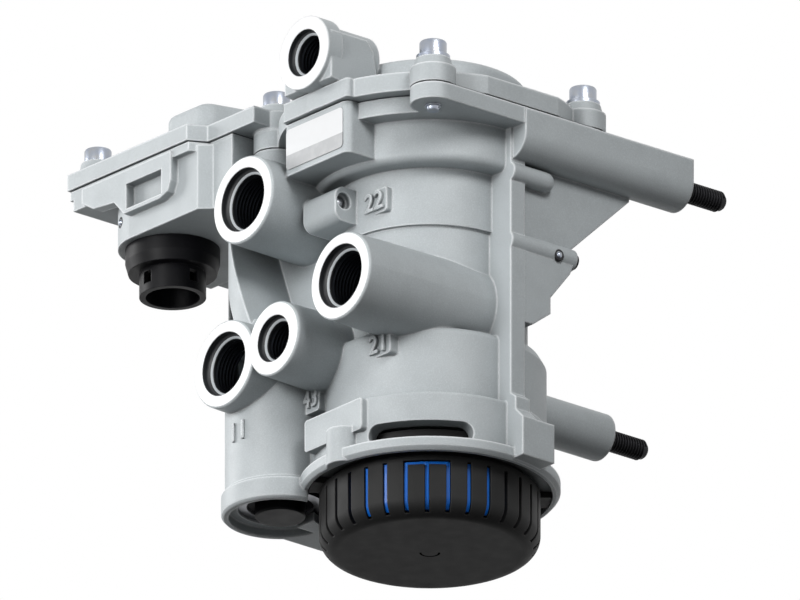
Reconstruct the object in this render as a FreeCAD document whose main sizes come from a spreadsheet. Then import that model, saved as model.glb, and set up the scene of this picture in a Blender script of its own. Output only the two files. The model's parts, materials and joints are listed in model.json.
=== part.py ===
"""Brake control valve: a cast relay valve with its ports, an electronics housing and a silencer.

The frame is millimetres with +Z up. The origin is the centre of the silencer's flat underside,
on the main valve axis. The ports look along -Y and the mounting studs point along +Y.
"""
import FreeCAD, Part
import math
import os
import re

import Sketcher

SIZES = {
    # stepped casting on the main axis, from the silencer ring upwards
    "ring_bottom": 22.2,
    "ring_wall": 2.9,
    "ring_height": 4.9,
    "ring_chamfer": 1.4,
    "ring_chamfer_height": 1.6,
    "skirt_wall": 6.3,
    "skirt_height": 19.4,
    "base_growth": 5.2,
    "base_height": 27.5,
    "neck_wall": 4.1,
    "neck_height": 40.8,
    "waist_growth": 1.3,
    "waist_height": 22.1,
    "head_growth": 7.9,
    "head_height": 15.8,
    "flange_height": 6.3,
    "flange_inset": 5.0,
    "back_base_growth": 3.7,
    "back_neck_growth": 2.0,
    "back_chamfer": 2.0,
    "back_slope_height": 4.0,
    "back_shoulder": 6.9,
    "back_shoulder_rise": 2.6,
    "back_lip": 0.5,
    "cast_round": 3.0,
    "edge_round": 1.2,
    # back plate that carries the three mounting arms
    "plate_thickness": 6.7,
    "plate_margin": 1.6,
    "foot_depth": 15.0,
    "foot_bottom": 23.0,
    "foot_chamfer": 4.0,
    "foot_flank": 9.0,
    "foot_run_up": 11.0,
    "foot_reach": 12.0,
    # bores of the main axis
    "exhaust_bore": 37.0,
    "recess_step": 7.7,
    "recess_depth": 2.8,
    "floor_thickness": 5.5,
    "supply_bore": 17.0,
    "seat_bore": 11.5,
    "seat_thickness": 4.0,
    "seat_rise": 2.0,
    "floor_round": 0.6,
    "guide_rise": 2.3,
    "control_floor_rise": 4.5,
    "relay_bore": 29.5,
    "control_bore": 38.5,
    # threaded ports
    "port_face": 60.0,
    "port_round": 0.9,
    "large_ring": 15.7,
    "large_mouth": 12.1,
    "large_bore": 10.2,
    "large_mouth_depth": 2.5,
    "large_bore_depth": 18.0,
    "mouth_slope": 1.2,
    "small_ring": 13.2,
    "small_mouth": 8.9,
    "small_bore": 7.2,
    "small_mouth_depth": 2.2,
    "small_bore_depth": 14.0,
    "pilot_boss_back": 20.0,
    "upper_port_side": 34.4,
    "upper_port_above_neck": 18.5,
    "lower_port_side": 20.4,
    "lower_port_above_base": 13.0,
    "pilot_port_side": 17.2,
    "pilot_port_below_base": 0.2,
    "supply_port_below_base": 1.7,
    "boss_growth": 0.8,
    "turret_ring": 13.9,
    "turret_above_lid": 13.6,
    "turret_disc": 7.0,
    "turret_wall": 3.0,
    "turret_back": 34.0,
    "turret_front": 2.0,
    "turret_rise": 5.7,
    "turret_roof_end": 19.0,
    "turret_inset": 0.8,
    "passage_radius": 4.5,
    # tower of the supply port
    "tower_side": 45.1,
    "tower_front": 33.0,
    "tower_bottom": 18.7,
    "tower_radius": 20.2,
    "tower_above_base": 12.7,
    "tower_bore": 15.5,
    "tower_rim": 21.6,
    "tower_rim_height": 9.2,
    "tower_rim_chamfer": 1.0,
    "tower_rim_shoulder": 1.2,
    "tower_roof": 6.0,
    "tower_roof_edge": 4.5,
    "tower_roof_slope": 4.0,
    "tower_mouth": 18.9,
    "tower_mouth_depth": 3.4,
    "tower_web_left": 3.0,
    "tower_web_right": 11.0,
    "tower_web_front": 10.7,
    "tower_web_back": 23.0,
    "column_radius": 18.9,
    "column_wall_back": 6.0,
    "rib_thickness": 3.0,
    "block_width": 22.0,
    "block_depth": 24.0,
    "block_side": 15.0,
    "block_back": 8.0,
    "block_rise": 20.0,
    # mounting arms and studs
    "arm_radius": 8.9,
    "arm_end": 81.0,
    "arm_below_body_top": 9.4,
    "lower_arm_level": 65.8,
    "stud_radius": 4.0,
    "stud_grip_growth": 0.6,
    "stud_relief": 0.5,
    "stud_relief_length": 1.2,
    "stud_chamfer": 0.7,
    "stud_end_chamfer": 0.8,
    "stud_free_length": 21.0,
    "stud_grip_length": 18.0,
    "gusset_thickness": 6.0,
    "gusset_inset": 1.5,
    "lug_thickness": 3.0,
    "lug_radius": 4.2,
    "lug_length": 31.0,
    "lug_below_arm": 40.5,
    "stay_radius": 3.8,
    "stay_length": 17.0,
    "stay_below_arm": 13.7,
    # top cover
    "gasket": 0.5,
    "gasket_inset": 0.6,
    "lid_thickness": 7.2,
    "lid_bolt_side": 44.0,
    "lid_bolt_front": 35.7,
    "lid_corner": 8.4,
    "lid_arc_growth": 2.6,
    "lid_nose_width": 36.8,
    "lid_nose_front": 54.8,
    "lid_nose_round": 1.5,
    "dome_radius": 36.0,
    "dome_height": 13.6,
    "dome_round": 4.0,
    "dome_wall": 4.0,
    "cavity_slope": 3.0,
    "sleeve_drop": 1.0,
    "boss_lean": 1.0,
    "bolt_boss_height": 3.6,
    "bolt_radius": 3.0,
    "bolt_tip": 2.2,
    "bolt_gap": 0.5,
    "bolt_point": 0.6,
    "bolt_point_length": 0.8,
    "head_chamfer": 0.5,
    "bolt_head_radius": 5.0,
    "bolt_head_height": 5.6,
    "washer_radius": 6.2,
    "washer_thickness": 1.4,
    # label block and number pads
    "pad_height": 9.5,
    "ball_lug_reach": 10.1,
    "ball_lug_length": 18.0,
    "ball_lug_height": 13.3,
    "ball_lug_above_neck": 4.5,
    "ball_mouth": 3.2,
    "ball_depth": 4.4,
    "label_left": 20.0,
    "label_right": 16.0,
    "label_front": 53.0,
    "label_height": 20.0,
    "label_thickness": 0.4,
    "label_round": 1.6,
    "label_margin": 2.2,
    "skirt_pad_left": 18.5,
    "skirt_pad_right": 13.5,
    "skirt_pad_growth": 0.7,
    "skirt_pad_rise": 6.4,
    "skirt_pad_drop": 0.7,
    "ear_radius": 6.5,
    "ear_height": 13.8,
    "ear_side": 2.0,
    "ear_sink": 0.8,
    # electronics housing on the left
    "house_length": 83.6,
    "house_front": 57.5,
    "house_back": 1.0,
    "house_bottom": 141.0,
    "house_wall": 3.5,
    "house_inset": 3.5,
    "wing_start": 15.7,
    "wing_drop": 1.0,
    "wing_hole_length": 12.0,
    "wing_hole_start": 3.0,
    "cover_thickness": 6.3,
    "cover_corner": 7.6,
    "cover_step": 7.0,
    "cover_step_offset": 15.6,
    "cover_overlap": 4.6,
    "bump_height": 10.0,
    "boss_radius": 6.4,
    "boss_depth": 6.0,
    "window_width": 19.7,
    "window_height": 9.6,
    "window_depth": 4.0,
    "window_side": 1.4,
    "window_rise": 10.0,
    "rim_height": 3.5,
    "rim_inset": 0.8,
    "rim_drop": 1.0,
    "shallow_depth": 8.0,
    "shallow_inset": 2.5,
    "cover_bolt_inset": 8.0,
    "cover_bolt_front": 7.8,
    "gasket_rim_inset": 1.2,
    # connector socket that opens downwards
    "plug_offset": 52.0,
    "plug_front": 34.1,
    "collar_radius": 19.9,
    "plug_ring": 17.3,
    "plug_ring_height": 9.5,
    "plug_barrel": 12.2,
    "plug_barrel_height": 9.0,
    "plug_bore": 9.9,
    "plug_spigot": 12.9,
    "plug_pin": 1.2,
    "plug_pin_circle": 5.2,
    "plug_pin_length": 11.0,
    "plug_ring_chamfer": 1.1,
    "plug_ring_slope": 4.0,
    "plug_seal_outer": 2.4,
    "plug_seal_inner": 0.6,
    "plug_seal_groove": 1.4,
    "plug_rise": 1.5,
    "plug_slot_low": 6.0,
    "plug_slot_high": 1.5,
    "plug_slot_half": 2.0,
    # silencer
    "cap_step": 3.3,
    "cap_round": 6.5,
    "cap_wall": 2.4,
    "cap_neck_height": 11.4,
    "cap_rise": 0.4,
    "cap_shoulder": 1.6,
    "cap_throat": 1.0,
    "cap_throat_slope": 3.0,
    "cap_slots": 32,
    "cap_slot_width": 1.7,
    "cap_slot_start": 1.2,
    "cap_slot_margin": 1.6,
    "cap_slot_root": 1.0,
    "cap_lug_reach": 0.4,
    "cap_lug_height": 2.2,
    "insert_wall": 2.0,
    "insert_gap": 0.2,
    "insert_drop": 3.0,
    "insert_chamfer": 4.4,
    "insert_inner_chamfer": 3.2,
    "packing_gap": 3.0,
    "packing_bore": 14.0,
    "packing_drop": 1.0,
    # moving pieces
    "running_fit": 0.05,
    "seal_squeeze": 1.8,
    "seal_width": 2.6,
    "seal_gap": 0.1,
    "ring_opening": 2.5,
    "guide_sleeve": 12.0,
    "plug_disc": 9.3,
    "ball_radius": 2.6,
    "control_disc": 6.0,
    "control_groove": 1.6,
    "control_rim": 8.0,
    "control_dish": 10.0,
    "control_dish_depth": 1.5,
    "control_travel": 5.0,
    "control_floor_gap": 2.6,
    "relay_disc": 10.0,
    "relay_travel": 5.0,
    "relay_gap": 0.8,
    "relay_stem": 8.0,
    "relay_groove": 3.4,
    "relay_flare": 4.0,
    "relay_rim": 8.0,
    "relay_dish": 12.0,
    "relay_dish_depth": 3.0,
    "relay_hollow_depth": 8.0,
    "valve_travel": 3.0,
    "valve_disc": 13.5,
    "valve_disc_thickness": 3.7,
    "valve_stem": 7.5,
    "valve_hollow": 5.0,
    "valve_rise": 0.5,
    "guide_height": 12.0,
    "guide_groove": 4.0,
    "guide_ring_width": 2.6,
    "guide_ring_grip": 0.9,
    "guide_ring_seat": 1.0,
    "supply_groove": 1.0,
    "plug_height": 9.0,
    "plug_groove": 2.0,
    "plug_sunk": 0.2,
    "plug_chamfer": 0.5,
    "tower_ring_width": 3.2,
    "tower_ring_grip": 1.0,
    "throttle_gap": 8.0,
    "ring_thickness": 1.4,
    "ring_land": 0.9,
    "ring_groove": 1.1,
    "throttle_height": 12.0,
    "throttle_groove": 4.0,
    "throttle_slope": 3.0,
    "throttle_edge": 5.0,
    "armature_radius": 3.4,
    "armature_length": 9.0,
    "armature_chamfer": 0.6,
    "core_wall": 0.9,
    "core_end": 2.2,
    "coil_radius": 7.4,
    "coil_height": 15.0,
    "coil_spacing": 17.0,
    "coil_gap": 0.8,
    "ledge_depth": 1.8,
    "board_gap": 1.0,
    "sensor_radius": 5.5,
    "sensor_height": 8.0,
    "sensor_neck": 3.4,
    "sensor_shoulder": 1.5,
    "sensor_front": 20.0,
    "sensor_spacing": 15.0,
    "board_thickness": 1.6,
    "board_left": 7.6,
    "board_right": 0.6,
    "board_front": 11.6,
    "spring_wire": 0.8,
    "spring_seat": 0.1,
    "clearance": 0.3,
    "overshoot": 1.0,
}

UPRIGHT = FreeCAD.Rotation()
TO_BACK = FreeCAD.Rotation(FreeCAD.Vector(1, 0, 0), -90)
TO_RIGHT = FreeCAD.Rotation(FreeCAD.Vector(0, 1, 0), 90)
ORIGIN = ("0", "0", "0")
EAR = ("-lid_bolt_side", "-lid_bolt_front")
SLOT_FRONT = -41.7
LUG_ANGLE = 60.0
LUG_SPREAD = 14.0
TINY = 1e-4

# levels along +Z, each worked out from the heights below it
RING_TOP = "ring_bottom + ring_height"
SKIRT_TOP = RING_TOP + " + skirt_height"
BASE_TOP = SKIRT_TOP + " + base_height"
NECK_TOP = BASE_TOP + " + neck_height"
WAIST_TOP = NECK_TOP + " + waist_height"
HEAD_TOP = WAIST_TOP + " + head_height"
BODY_TOP = HEAD_TOP + " + flange_height"
LID_BOTTOM = BODY_TOP + " + gasket"
LID_TOP = LID_BOTTOM + " + lid_thickness"
DOME_TOP = LID_TOP + " + dome_height"
COVER_BOTTOM = LID_TOP + " + 2 * gasket"
COVER_TOP = COVER_BOTTOM + " + cover_thickness"
SEAT_TOP = BASE_TOP + " + seat_rise"
SEAT_BOTTOM = SEAT_TOP + " - seat_thickness"
UPPER_PORT_LEVEL = NECK_TOP + " + upper_port_above_neck"
LOWER_PORT_LEVEL = BASE_TOP + " + lower_port_above_base"
PILOT_PORT_LEVEL = BASE_TOP + " - pilot_port_below_base"
SUPPLY_PORT_LEVEL = BASE_TOP + " - supply_port_below_base"
CONTROL_PORT_LEVEL = LID_TOP + " + turret_above_lid"
ARM_LEVEL = BODY_TOP + " - arm_below_body_top"
FLOOR = SKIRT_TOP + " - floor_thickness"
GUIDE_BOTTOM = FLOOR + " + guide_rise"
GUIDE_TOP = GUIDE_BOTTOM + " + guide_height"
VALVE_TOP = SEAT_BOTTOM + " - clearance"
RELAY_TOP = NECK_TOP + " - relay_gap"
RELAY_BOTTOM = RELAY_TOP + " - relay_disc"
CONTROL_FLOOR = WAIST_TOP + " + control_floor_rise"
CONTROL_BOTTOM = CONTROL_FLOOR + " + control_travel + control_floor_gap"
CONTROL_TOP = CONTROL_BOTTOM + " + control_disc"
HOUSE_TOP = COVER_BOTTOM + " - gasket"
HOUSE_FLOOR = "house_bottom + house_wall"
BOARD_LEVEL = HOUSE_FLOOR + " + coil_height + board_gap"
BOSS_BOTTOM = HOUSE_TOP + " - boss_depth"
PLUG_TOP = "tower_mouth_depth + plug_height"
THROTTLE_BOTTOM = PLUG_TOP + " + throttle_gap"
RING_LOW = "tower_mouth_depth + ring_land"
RING_HIGH = RING_LOW + " + ring_thickness"
# the gusset stands back from the plate's edge, and the lug stands out from the gusset
GUSSET_SIDE = "lid_bolt_side - gusset_inset - 0.5 * gusset_thickness"
LUG_SIDE = "lid_bolt_side - gusset_inset - 0.5 * gusset_thickness + lug_thickness"

# sizes that follow from the driving ones
WORKED_OUT = {
    "neck_radius": "relay_bore + neck_wall",
    "base_radius": "neck_radius + base_growth",
    "waist_radius": "neck_radius + waist_growth",
    "head_radius": "waist_radius + head_growth",
    "back_base_radius": "base_radius + back_base_growth",
    "back_neck_radius": "neck_radius + back_neck_growth",
    "skirt_radius": "exhaust_bore + skirt_wall",
    "silencer_recess": "exhaust_bore + recess_step",
    "ring_radius": "silencer_recess + ring_wall",
    "cap_radius": "exhaust_bore + cap_step",
    "stud_grip_radius": "stud_radius + stud_grip_growth",
    "lid_half_width": "lid_bolt_side + lid_corner",
    "lid_arc": "lid_half_width + lid_arc_growth",
    "plate_half_width": "lid_bolt_side + plate_margin",
    "foot_half_width": "lid_half_width",
    "arm_side": "lid_bolt_side",
    "tower_height": BASE_TOP + " + tower_above_base - tower_bottom",
    "house_left": "lid_half_width + house_length",
    "plug_side": "lid_half_width + plug_offset",
    "cover_step_at": "lid_half_width + cover_step_offset",
    "cover_end": "lid_bolt_side - cover_overlap",
}

doc = FreeCAD.newDocument("BrakeControlValve")
sheet = doc.addObject("Spreadsheet::Sheet", "Sizes")
finished = []


def fill_sheet():
    """Writes each driving size into the sheet, its name in column A and its value in column B."""
    for row, (name, size) in enumerate(SIZES.items(), start=1):
        sheet.set("A%d" % row, name)
        sheet.set("B%d" % row, str(size))
        sheet.setAlias("B%d" % row, name)
    doc.recompute()


def bound(expression):
    """The expression with each size name pointing at its cell, and worked out sizes written out."""
    def cell(match):
        word = match.group()
        if word in WORKED_OUT:
            return "(%s)" % bound(WORKED_OUT[word])
        return "Sizes." + word if word in SIZES else word
    return re.sub(r"[a-z_]+", cell, expression)


def value(expression):
    """The number that an expression of the sizes gives."""
    return float(sheet.evalExpression(bound(expression)))


def placed(obj, at, turn=UPRIGHT):
    """Puts an object at a point given by three expressions."""
    obj.Placement = FreeCAD.Placement(FreeCAD.Vector(), turn)
    for letter, expression in zip("xyz", at):
        obj.setExpression("Placement.Base." + letter, bound(expression))
    return obj


def cylinder(radius, height, at=ORIGIN, turn=UPRIGHT):
    obj = doc.addObject("Part::Cylinder", "Cylinder")
    obj.setExpression("Radius", bound(radius))
    obj.setExpression("Height", bound(height))
    return placed(obj, at, turn)


def cone(start, end, height, at=ORIGIN, turn=UPRIGHT):
    obj = doc.addObject("Part::Cone", "Cone")
    obj.setExpression("Radius1", bound(start))
    obj.setExpression("Radius2", bound(end))
    obj.setExpression("Height", bound(height))
    return placed(obj, at, turn)


def block(left, right, front, back, bottom, top):
    """A box between two corners, each given by expressions."""
    obj = doc.addObject("Part::Box", "Block")
    for side, low, high in (("Length", left, right), ("Width", front, back), ("Height", bottom, top)):
        obj.setExpression(side, bound("(%s) - (%s)" % (high, low)))
    return placed(obj, (left, front, bottom))


def joined(*pieces):
    obj = doc.addObject("Part::MultiFuse", "Joined")
    obj.Shapes = list(pieces)
    obj.Refine = True
    return obj


def without(base, *tools):
    obj = doc.addObject("Part::Cut", "Without")
    obj.Base = base
    obj.Tool = tools[0] if len(tools) == 1 else joined(*tools)
    obj.Refine = True
    return obj


def shared(first, second):
    obj = doc.addObject("Part::Common", "Shared")
    obj.Base = first
    obj.Tool = second
    obj.Refine = True
    return obj


def grouped(*pieces):
    """Several like solids that share one node."""
    obj = doc.addObject("Part::Compound", "Group")
    obj.Links = list(pieces)
    return obj


def outline(body, plane, corners, name):
    """A closed sketch whose corners are bound to expressions of the sizes."""
    sketch = body.newObject("Sketcher::SketchObject", name)
    support = [item for item in body.Origin.OriginFeatures if item.Role == plane][0]
    sketch.AttachmentSupport = (support, [""])
    sketch.MapMode = "FlatFace"
    points = [FreeCAD.Vector(value(across), value(up), 0) for across, up in corners]
    count = len(points)
    for index in range(count):
        sketch.addGeometry(Part.LineSegment(points[index], points[(index + 1) % count]), False)
    rules = [Sketcher.Constraint("Coincident", i, 2, (i + 1) % count, 1) for i in range(count)]
    sizes = []
    for index, corner in enumerate(corners):
        for kind, axis, expression in zip(("DistanceX", "DistanceY"), (-2, -1), corner):
            if expression == "0":
                rules.append(Sketcher.Constraint("PointOnObject", index, 1, axis))
            else:
                sizes.append((len(rules), expression))
                rules.append(Sketcher.Constraint(kind, -1, 1, index, 1, value(expression)))
    sketch.addConstraint(rules)
    for number, expression in sizes:
        sketch.setExpression("Constraints[%d]" % number, bound(expression))
    return sketch


def rounded(body, feature, radius, wanted):
    """Rounds the edges of a body's last feature that the test accepts."""
    doc.recompute()
    names = ["Edge%d" % number for number, edge in enumerate(feature.Shape.Edges, start=1) if wanted(edge)]
    fillet = body.newObject("PartDesign::Fillet", "Round")
    fillet.Base = (feature, names)
    fillet.Radius = value(radius)
    fillet.setExpression("Radius", bound(radius))
    return fillet


def turned(name, corners, at=ORIGIN, turn=UPRIGHT):
    """A body turned about its own Z axis from corners given as radius and height."""
    body = doc.addObject("PartDesign::Body", name)
    sketch = outline(body, "XZ_Plane", corners, name + "_profile")
    spin = body.newObject("PartDesign::Revolution", name + "_turn")
    spin.Profile = sketch
    spin.ReferenceAxis = (sketch, ["V_Axis"])
    spin.Angle = 360
    sketch.Visibility = False
    return placed(body, at, turn)


def extruded(name, plane, corners, depth, at=ORIGIN, turn=UPRIGHT, rounding=None):
    """A body padded from corners in one of its origin planes, with its upright edges rounded if asked."""
    body = doc.addObject("PartDesign::Body", name)
    sketch = outline(body, plane, corners, name + "_profile")
    pad = body.newObject("PartDesign::Pad", name + "_pad")
    pad.Profile = sketch
    pad.Length = value(depth)
    pad.setExpression("Length", bound(depth))
    sketch.Visibility = False
    if rounding:
        normal = {"XY_Plane": 2, "XZ_Plane": 1, "YZ_Plane": 0}[plane]

        def upright(edge):
            return len(edge.Vertexes) == 2 and abs(edge.tangentAt(edge.FirstParameter)[normal]) > 1 - TINY
        rounded(body, pad, rounding, upright)
    return placed(body, at, turn)


def node(name, obj):
    """Names a finished sub-part."""
    obj.Label = name
    finished.append(obj)
    return obj


def port(side, level, size, reach, growth="0"):
    """The solid boss of a threaded port, from its mouth face back towards the axis."""
    rim = size + "_ring + port_round"
    boss = turned("Boss", [("0", "0"), (rim, "0"), (rim + " + " + growth, reach), ("0", reach)],
                  (side, "-port_face", level), TO_BACK)
    rounded(boss, boss.Tip, "port_round", at_radius(rim, "0"))
    return boss


def port_bore(side, level, size, reach):
    """The mouth, the thread's bore and its conical end, as one tool."""
    depth = size + "_mouth_depth"
    return turned("Bore", [
        ("0", "-overshoot"),
        (size + "_mouth", "-overshoot"),
        (size + "_mouth", depth),
        (size + "_bore", depth + " + mouth_slope"),
        (size + "_bore", reach),
        ("0", reach + " + 0.5 * " + size + "_bore"),
    ], (side, "-port_face", level), TO_BACK)


def stepped_casting():
    """The round steps of the casting on the main axis, front and back."""
    levels = [
        ("ring_radius", "ring_bottom", "ring_height"),
        ("skirt_radius", RING_TOP, "skirt_height"),
        ("base_radius", SKIRT_TOP, "base_height"),
        ("neck_radius", BASE_TOP, "neck_height"),
        ("waist_radius", NECK_TOP, "waist_height"),
        ("head_radius", WAIST_TOP, "head_height"),
    ]
    corners = [
        ("0", "ring_bottom"),
        ("ring_radius - ring_chamfer", "ring_bottom"),
        ("ring_radius", "ring_bottom + ring_chamfer_height"),
    ]
    for radius, bottom, height in levels:
        top = bottom + " + " + height
        if radius != "ring_radius":
            corners.append((radius, bottom))
        corners.append((radius, top))
    corners.append(("0", HEAD_TOP))
    steps = turned("Steps", corners)
    tops = [at_radius("base_radius", BASE_TOP), at_radius("head_radius", WAIST_TOP)]
    soft = rounded(steps, steps.Tip, "cast_round", lambda edge: any(test(edge) for test in tops))
    rounded(steps, soft, "edge_round", at_radius("skirt_radius", SKIRT_TOP))
    return steps


def back_of_casting():
    """The wider rear half of the casting behind the plate."""
    shell = turned("Back", [
        ("0", RING_TOP),
        ("back_base_radius", RING_TOP),
        ("back_base_radius", BASE_TOP + " - back_slope_height"),
        ("back_base_radius - back_chamfer", BASE_TOP + " - back_lip"),
        ("back_base_radius - back_shoulder", BASE_TOP + " + back_shoulder_rise"),
        ("back_neck_radius", BASE_TOP + " + back_slope_height"),
        ("back_neck_radius", WAIST_TOP + " - back_slope_height"),
        ("head_radius", WAIST_TOP),
        ("head_radius", HEAD_TOP),
        ("0", HEAD_TOP),
    ])
    rear = block("-ring_radius", "ring_radius", "0", "ring_radius", "ring_bottom", HEAD_TOP)
    return shared(shell, rear)


def back_plate():
    """The flat plate through the axis that widens into a foot at the silencer ring."""
    return extruded("Plate", "XZ_Plane", [
        ("-foot_half_width", "foot_bottom"),
        ("foot_half_width", "foot_bottom"),
        ("foot_half_width", "foot_bottom + foot_depth"),
        ("foot_half_width - foot_chamfer", "foot_bottom + foot_depth + foot_chamfer"),
        ("foot_half_width - foot_chamfer", "foot_bottom + foot_depth + foot_flank"),
        ("plate_half_width", "foot_bottom + foot_depth + foot_run_up"),
        ("plate_half_width", HEAD_TOP),
        ("-plate_half_width", HEAD_TOP),
        ("-plate_half_width", "foot_bottom + foot_depth + foot_run_up"),
        ("-foot_half_width", "foot_bottom + foot_depth"),
    ], "plate_thickness", ("0", "plate_thickness", "0"))


def feet():
    """The thick feet beside the silencer ring."""
    foot = block("-foot_half_width", "foot_half_width", "0", "foot_depth", "foot_bottom",
                 "foot_bottom + foot_depth")
    inside = cylinder("ring_radius + foot_reach", "foot_depth + 30", ("0", "0", "ring_bottom - 4"))
    return shared(foot, inside)


def body_flange():
    """The flange under the top cover, with a boss round each cover bolt."""
    disc = cylinder("lid_arc - flange_inset", "flange_height", ("0", "0", HEAD_TOP))
    bar = block("-lid_half_width", "lid_half_width", "-lid_bolt_front", "lid_bolt_front", HEAD_TOP, BODY_TOP)
    ears = [cylinder("lid_corner", "flange_height", (x, y, HEAD_TOP)) for x, y in lid_bolts()]
    return joined(disc, bar, *ears)


def lid_bolts():
    """The four bolt places of the top cover."""
    return [
        (across + "lid_bolt_side", along + "lid_bolt_front")
        for across in ("", "-") for along in ("-", "")
    ]


def label_block():
    """The raised block that carries the name label."""
    return extruded("Label_block", "XY_Plane", [
        ("-label_left", "-label_front"),
        ("label_right", "-label_front"),
        ("label_right", "-0.5 * head_radius"),
        ("-label_left", "-0.5 * head_radius"),
    ], "label_height", ("0", "0", BODY_TOP + " - label_height"), rounding="cast_round")


def number_pads():
    """The flat pads that carry the port numbers, one near each port."""
    return [
        pad("0.1 * waist_radius", "0.45 * waist_radius", "0.97 * waist_radius",
            NECK_TOP + " + 6", NECK_TOP + " + 6 + pad_height"),
        pad("0.25 * base_radius", "0.54 * base_radius", "0.945 * base_radius",
            BASE_TOP + " - 1.5 - pad_height", BASE_TOP + " - 1.5"),
        pad("-0.74 * base_radius", "-0.465 * base_radius", "0.966 * base_radius",
            SKIRT_TOP + " + 5.5", SKIRT_TOP + " + 5.5 + pad_height"),
    ]


def pad(left, right, reach, bottom, top):
    """A flat cast pad that looks along -Y, with rounded corners."""
    return extruded("Pad", "XZ_Plane", [(left, bottom), (right, bottom), (right, top), (left, top)],
                    reach, rounding="edge_round")


def skirt_pad():
    """The flat machined pad and the rounded ear at the front of the skirt."""
    flat = pad("-skirt_pad_left", "skirt_pad_right", "skirt_radius + skirt_pad_growth",
               RING_TOP + " + skirt_pad_rise", SKIRT_TOP + " - skirt_pad_drop")
    ear = cylinder("ear_radius", "ear_height", ("ear_side", "-skirt_radius + ear_sink", "ring_bottom"))
    return [flat, ear]


def ball_lug():
    """The lug between the upper delivery port and the waist; the sealing ball sits in its end."""
    low = NECK_TOP + " + ball_lug_above_neck"
    high = low + " + ball_lug_height"
    front = "-waist_radius - ball_lug_reach"
    back = "-0.5 * waist_radius"
    return extruded("Ball_lug", "YZ_Plane", [(front, low), (back, low), (back, high), (front, high)],
                    "ball_lug_length", ("-ball_lug_length", "0", "0"), rounding="cast_round + 1")


def ball_place(depth):
    """The point on the ball's axis at that depth from the lug's end."""
    return ("-(%s)" % depth, "-waist_radius - 0.6 * ball_lug_reach",
            NECK_TOP + " + ball_lug_above_neck + 0.6 * ball_lug_height")


def tower():
    """The supply tower, its rim and the ribbed column up to the upper delivery port."""
    at = ("-tower_side", "-tower_front", "tower_bottom")
    shaft = cylinder("tower_radius", "tower_height", at)
    rim = turned("Rim", [
        ("0", "0"),
        ("tower_rim - tower_rim_chamfer", "0"),
        ("tower_rim", "tower_rim_chamfer"),
        ("tower_rim", "tower_rim_height - tower_rim_shoulder"),
        ("tower_radius - overshoot", "tower_rim_height + overshoot"),
        ("0", "tower_rim_height + overshoot"),
    ], at)
    top = turned("Tower_top", [
        ("0", "0"),
        ("tower_radius", "0"),
        ("tower_radius - tower_roof_slope", "tower_roof_edge"),
        ("0", "tower_roof"),
    ], ("-tower_side", "-tower_front", "tower_bottom + tower_height"))
    side_block = block("-tower_side - block_side", "-tower_side + block_width - block_side",
                       "-tower_front + block_back", "-tower_front + 2 * block_back + block_depth",
                       "tower_bottom", RING_TOP + " + block_rise")
    return [shaft, rim, top, side_block]


def column():
    """Crossed ribs between the tower and the upper delivery port, inside a round outline."""
    bottom = "tower_bottom + tower_height - 4"
    height = "(" + UPPER_PORT_LEVEL + ") - (tower_bottom + tower_height) + 6"
    envelope = cylinder("column_radius", height, ("-tower_side", "-tower_front", bottom))
    left = "-tower_side - column_radius"
    right = "-tower_side + column_radius"
    back = "-tower_front + column_radius"
    wall = block(left, right, "-tower_front + column_wall_back", back, bottom, bottom + " + " + height)
    side = block(left, left + " + 2 * rib_thickness", "-tower_front - column_radius", back,
                 bottom, bottom + " + " + height)
    diagonal = extruded("Diagonal", "XZ_Plane", [
        (left, bottom + " + " + height + " - 12"),
        (left + " + 9", bottom + " + " + height + " - 6"),
        (left + " + 26", bottom),
        (left + " + 19", bottom),
    ], "column_radius + 6", ("0", "-tower_front + 6", "0"))
    return shared(envelope, joined(wall, side, diagonal))


def mounting_arm(side, level, start):
    """One arm along +Y; the upper arms are squared up to the cover's joint."""
    return cylinder("arm_radius", "arm_end - " + start, (side, start, level), TO_BACK)


def upper_arm(sign):
    """An upper arm with its squared top and, below it, the gusset to the plate."""
    side = sign + "arm_side"
    arm = mounting_arm(side, ARM_LEVEL, "house_back")
    top = block(side + " - arm_radius", side + " + arm_radius", "house_back", "arm_end", ARM_LEVEL,
                BODY_TOP + " - 0.4")
    waist = ("30.7", ARM_LEVEL + " - 36.5")
    foot = [
        ("28.3", ARM_LEVEL + " - 47.1"),
        ("19", ARM_LEVEL + " - 58.7"),
        ("19", ARM_LEVEL + " - 65"),
        ("10.8", ARM_LEVEL + " - 71.1"),
        ("0", ARM_LEVEL + " - 71.1"),
    ]
    gusset = extruded("Gusset", "YZ_Plane", [
        ("0", ARM_LEVEL), ("60", ARM_LEVEL), ("58.9", ARM_LEVEL + " - 10.2"), waist, *foot,
    ], "gusset_thickness", (sign + "(%s) - 0.5 * gusset_thickness" % GUSSET_SIDE, "0", "0"))
    lower = extruded("Gusset_foot", "YZ_Plane", [
        ("0", ARM_LEVEL + " - lug_below_arm"), ("lug_length", ARM_LEVEL + " - lug_below_arm"), *foot,
    ], "gusset_thickness", (sign + "(%s) - 0.5 * gusset_thickness" % LUG_SIDE, "0", "0"))
    lug_at = (sign + "(%s)" % LUG_SIDE, "0", ARM_LEVEL + " - lug_below_arm")
    lug = cylinder("lug_radius", "lug_length", lug_at, TO_BACK)
    stay_at = (side, "stay_length", ARM_LEVEL + " - stay_below_arm")
    stay = cylinder("stay_radius", "stay_length", (side, "0", stay_at[2]), TO_BACK)
    end = doc.addObject("Part::Sphere", "Stay_end")
    end.setExpression("Radius", bound("stay_radius"))
    return [arm, top, gusset, lower, lug, stay, placed(end, stay_at)]


def stud_hole(side, level):
    depth = "stud_grip_length"
    return cylinder("stud_grip_radius", depth + " + 10", (side, "arm_end - " + depth, level), TO_BACK)


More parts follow.
